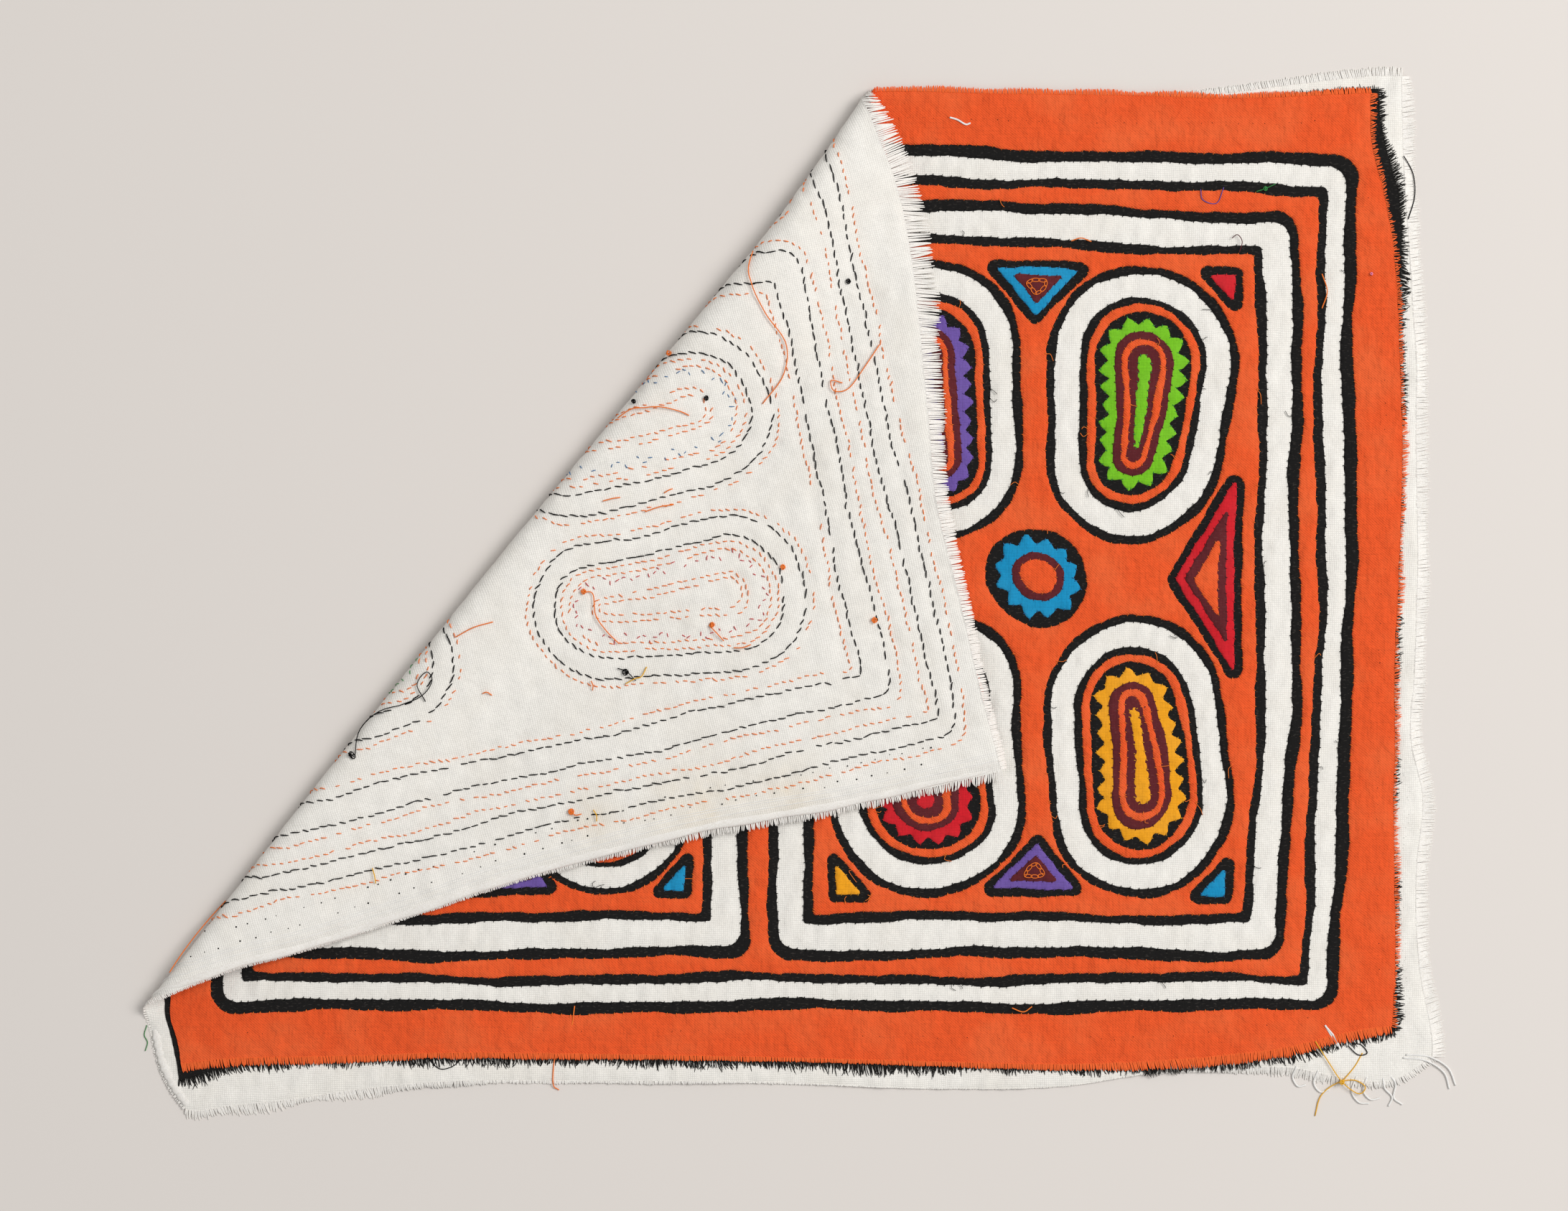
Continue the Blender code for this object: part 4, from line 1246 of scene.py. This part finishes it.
# Heights: of an end on the back, more in its middle, and of knots on the back and the face
END_HEIGHT, END_ARCH, BACK_KNOT, FACE_KNOT = -0.75, 0.5, -0.9, 2.2


def smooth_path(points, count):
    """A Catmull-Rom curve: each span is the cubic whose slope at a point is half the step between
    the point's two neighbours."""
    points = np.array(points, dtype=float)
    before, after = 2 * points[0] - points[1], 2 * points[-1] - points[-2]
    whole = np.vstack([before, points, after])
    at = np.linspace(0, len(points) - 1.0001, count)
    k = at.astype(int)
    t = (at - k)[:, None]
    a, b, c, d = whole[k], whole[k + 1], whole[k + 2], whole[k + 3]
    return b + t * ((c - a) + t * ((2 * a - 5 * b + 4 * c - d) + t * (3 * b - a + c * -3 + d))) / 2


def knot_path(centre, size, seed):
    """A knot: a path that winds three times round a small uneven ball."""
    phase = np.random.default_rng(seed).uniform(0, math.tau, 3)
    t = np.linspace(0, math.tau, END_STEPS)
    u = np.sin(3 * t + phase[0]) * np.cos(t + phase[1])
    v = np.cos(3 * t + phase[0]) * np.sin(2 * t + phase[2])
    return centre + size * np.stack([u, v], axis=1), 0.35 * size * np.sin(2 * t + phase[1])


def add_thread_ends():
    """Ends of sewing thread and knots left lying on both sides, one mesh for each colour."""
    rows = []
    arch = np.sin(np.linspace(0, math.pi, END_STEPS))
    for thread, *points in FLAP_ENDS:
        rows.append((thread, on_flap(smooth_path(points, END_STEPS)), END_HEIGHT - END_ARCH * arch))
    for thread, first, last, *points in FACE_ENDS:
        w = np.linspace(first, last, END_STEPS)
        rows.append((thread, smooth_path(points, END_STEPS), w))
    for k, (thread, centre, size, on_back) in enumerate(KNOTS):
        path, rise = knot_path(centre, size, 40 + k)
        place = (on_flap(path), BACK_KNOT - rise) if on_back else (path, FACE_KNOT + rise)
        rows.append((thread, *place))
    for thread in dict.fromkeys(row[0] for row in rows):
        paths = [lay(flat, w) for of, flat, w in rows if of == thread]
        thick = END_THICKNESS.get(thread, OTHER_THICKNESS)
        finish = (thread + "_thread", thread_slot(thread))
        tubes("thread_ends_" + thread, *finish, paths, thick / 2, sides=5, flatten=0.7)


STRAY_REACH, STRAY_SWAY, STRAY_STEPS = (1.0, 2.6), 1.2, 10


def add_strays():
    """Short ends of sewing thread that poke out of the hems here and there."""
    hand = np.random.default_rng(77)
    for cotton, count in (("orange", 64), ("black", 46)):
        hems = [hem for hem in HEMS if hem[3] == cotton]
        rows = []
        for k in hand.integers(len(hems), size=count):
            loop, into, (_, top), _ = hems[k]
            at = hand.integers(len(loop))
            reach, (sway, curl) = hand.uniform(*STRAY_REACH), hand.normal(0, STRAY_SWAY, 2)
            out, along = -into[at], -left_of(into[at])
            steps = ((-0.8, 0.0), (0.0, sway * 0.4), (reach * 0.6, sway), (reach, sway + curl))
            points = [loop[at] + out * far + along * by for far, by in steps]
            flat = smooth_path(points, STRAY_STEPS)
            if faces_up(flat).all():
                rows.append(lay(flat, np.linspace(top + 0.1, top + 0.25, STRAY_STEPS)))
        tubes("stray_ends_" + cotton, cotton + "_thread", thread_slot(cotton), rows, 0.12)


# Dark specks of painted shade where pins and basting left holes
PRICK_SHADES = (
    # name, cloth, side, distance inside the edge, spacing, size, share, on the flap
    ("face_prick_shade_top", ORANGE, TOP, 9.4, 4.4, 0.34, 0.8, False),
    ("face_prick_shade_bottom", ORANGE, BOTTOM, 8.6, 5.2, 0.30, 0.7, False),
    ("face_prick_shade_right", ORANGE, RIGHT, 5.6, 4.8, 0.30, 0.6, False),
    ("margin_prick_shade_right", GROUND, RIGHT, 5.2, 1.5, 0.22, 0.95, False),
    ("back_prick_shade_outer", GROUND, LEFT, 8.6, 5.8, 0.62, 0.9, True),
    ("back_prick_shade_inner", GROUND, LEFT, 14.0, 5.2, 0.58, 0.8, True),
)
# How far from a side's ends they stop, how far they stray, how deep they go, and how far they
# stand out of the face and of the back, just enough to be seen
PRICK_ENDS, PRICK_STRAY, PRICK_DEPTH, PRICK_OUT, BACK_PRICK_OUT = 20.0, 0.35, 0.3, 0.02, 0.03


def add_prick_shades():
    """Holes left by pins and pulled basting, in rows: each is a dark flat-topped speck of painted
    shade, standing for the shade inside the hole.
    """
    for number, (name, column, side, inside_by, spacing, size, share, on_back) in enumerate(PRICK_SHADES):
        hand = np.random.default_rng(300 + number)
        path = cloth_sides(column)[side]
        path = path + left_of(unit(np.gradient(path, axis=0))) * inside_by
        run = run_along(path)
        at = np.arange(PRICK_ENDS, run[-1] - PRICK_ENDS, spacing)
        flat = read(path, run, at + hand.normal(0, 0.12 * spacing, len(at)))
        flat += hand.normal(0, PRICK_STRAY, flat.shape)
        shown = lies_on_flap(flat) if on_back else faces_up(flat)
        flat = flat[shown & (hand.uniform(size=len(flat)) < share)]
        under = PRICK_DEPTH if on_back else -PRICK_DEPTH
        if on_back:
            top = back_of_ground(flat) - BACK_PRICK_OUT
        elif column == GROUND:
            top = LEVELS["ground"][1] + FRONT_SWELL + crease(flat) + PRICK_OUT
        else:
            top = LEVELS["orange"][1] + PUFF * puffed(flat) + PRICK_OUT
        paths = [lay(flat, top + under), lay(flat, top)]
        sizes = size / 2 * hand.uniform(0.6, 1.15, (len(flat), 1))
        # Black discs: painted shade for the holes
        tubes(name, "black_thread", "sewing_thread", np.stack(paths, axis=1), sizes, sides=6)


# The ground cloth's woven edge along the flap's lower side: thicker threads, this far inside, and
# a rim that has rolled over: how far inside its middle lies, half its width, and its height's
# share of that
SELVEDGE, SELVEDGE_STEPS = (4.2, 6.2, 7.0), 300
ROLL_INSIDE, ROLL_HALF, ROLL_FLATTEN = 1.5, 1.7, 0.42


def add_selvedge():
    path = cloth_sides(GROUND)[LEFT]
    into = left_of(unit(np.gradient(path, axis=0)))

    def even(depth, shown):
        flat = path + into * depth[:, None]
        flat = flat[shown(flat)]
        run = run_along(flat)
        return read(flat, run, np.linspace(0, run[-1], SELVEDGE_STEPS))

    rows = [even(depth + 0.3 * ripple(path, 66, 60.0), lies_on_flap) for depth in SELVEDGE]
    rows = [lay(flat, back_of_ground(flat) + 0.06) for flat in rows]
    tubes("selvedge_threads", "ivory_thread", "ivory_cotton", rows, 0.17)
    depth = ROLL_INSIDE + 0.35 * ripple(path, 67, 30.0)
    rows = [lay(even(depth, shown), w) for shown, w in ((lies_on_flap, -0.1), (faces_up, 0.3))]
    size = 1 - 0.9 * np.abs(np.linspace(-1, 1, SELVEDGE_STEPS)) ** 12
    size *= ROLL_HALF * (1 + 0.12 * np.sin(np.arange(SELVEDGE_STEPS) * 0.23))
    look = {"sides": 10, "flatten": ROLL_FLATTEN}
    # The roll takes the ravelled cloth's paler colour: painted light that makes the raised rim look
    # bright
    tubes("selvedge_roll", "ivory_ravel", "ivory_cotton", rows, size, **look)


# Setting


def add_stage():
    """A plain pale floor, a soft light from low on the right, and dimmer light all round."""
    bpy.ops.mesh.primitive_plane_add(size=6.0, location=(0, 0, 0))
    floor = bpy.context.object
    floor.name = "floor"
    material, _, shader = new_material("pale_floor", Roughness=0.95)
    shader.inputs["Base Color"].default_value = linear("E3DEDA")
    floor.data.materials.append(material)

    key = bpy.data.objects.new("key_light", bpy.data.lights.new("key_light", "AREA"))
    key.data.size = 1.5
    key.data.energy = 66.0
    key.data.color = (1.0, 0.975, 0.945)
    key.location = (1.8, 0.75, 2.3)
    key.rotation_euler = key.location.to_track_quat("Z", "Y").to_euler()
    bpy.context.scene.collection.objects.link(key)

    world = bpy.data.worlds.new("soft_surround")
    world.use_nodes = True
    backdrop = world.node_tree.nodes["Background"]
    backdrop.inputs["Color"].default_value = (1.0, 0.99, 0.975, 1.0)
    backdrop.inputs["Strength"].default_value = 0.44
    bpy.context.scene.world = world
    bpy.context.scene.view_settings.view_transform = "Standard"


def add_camera():
    """Straight above, framed as in the photograph."""
    camera = bpy.data.objects.new("camera", bpy.data.cameras.new("camera"))
    camera.data.lens = 85.0
    camera.data.sensor_width = 36.0
    camera.location = (-2.25 * MM, -4.4 * MM, 1.289)
    bpy.context.scene.collection.objects.link(camera)
    bpy.context.scene.camera = camera


add_camera()
add_bands()
add_fields()
ground = add_ground()
add_back_stitches()
add_hem_stitches()
for number, row in enumerate(FRINGES):
    add_fray(number, row)
add_chains()
add_thread_ends()
add_strays()
add_prick_shades()
add_selvedge()
add_stage()
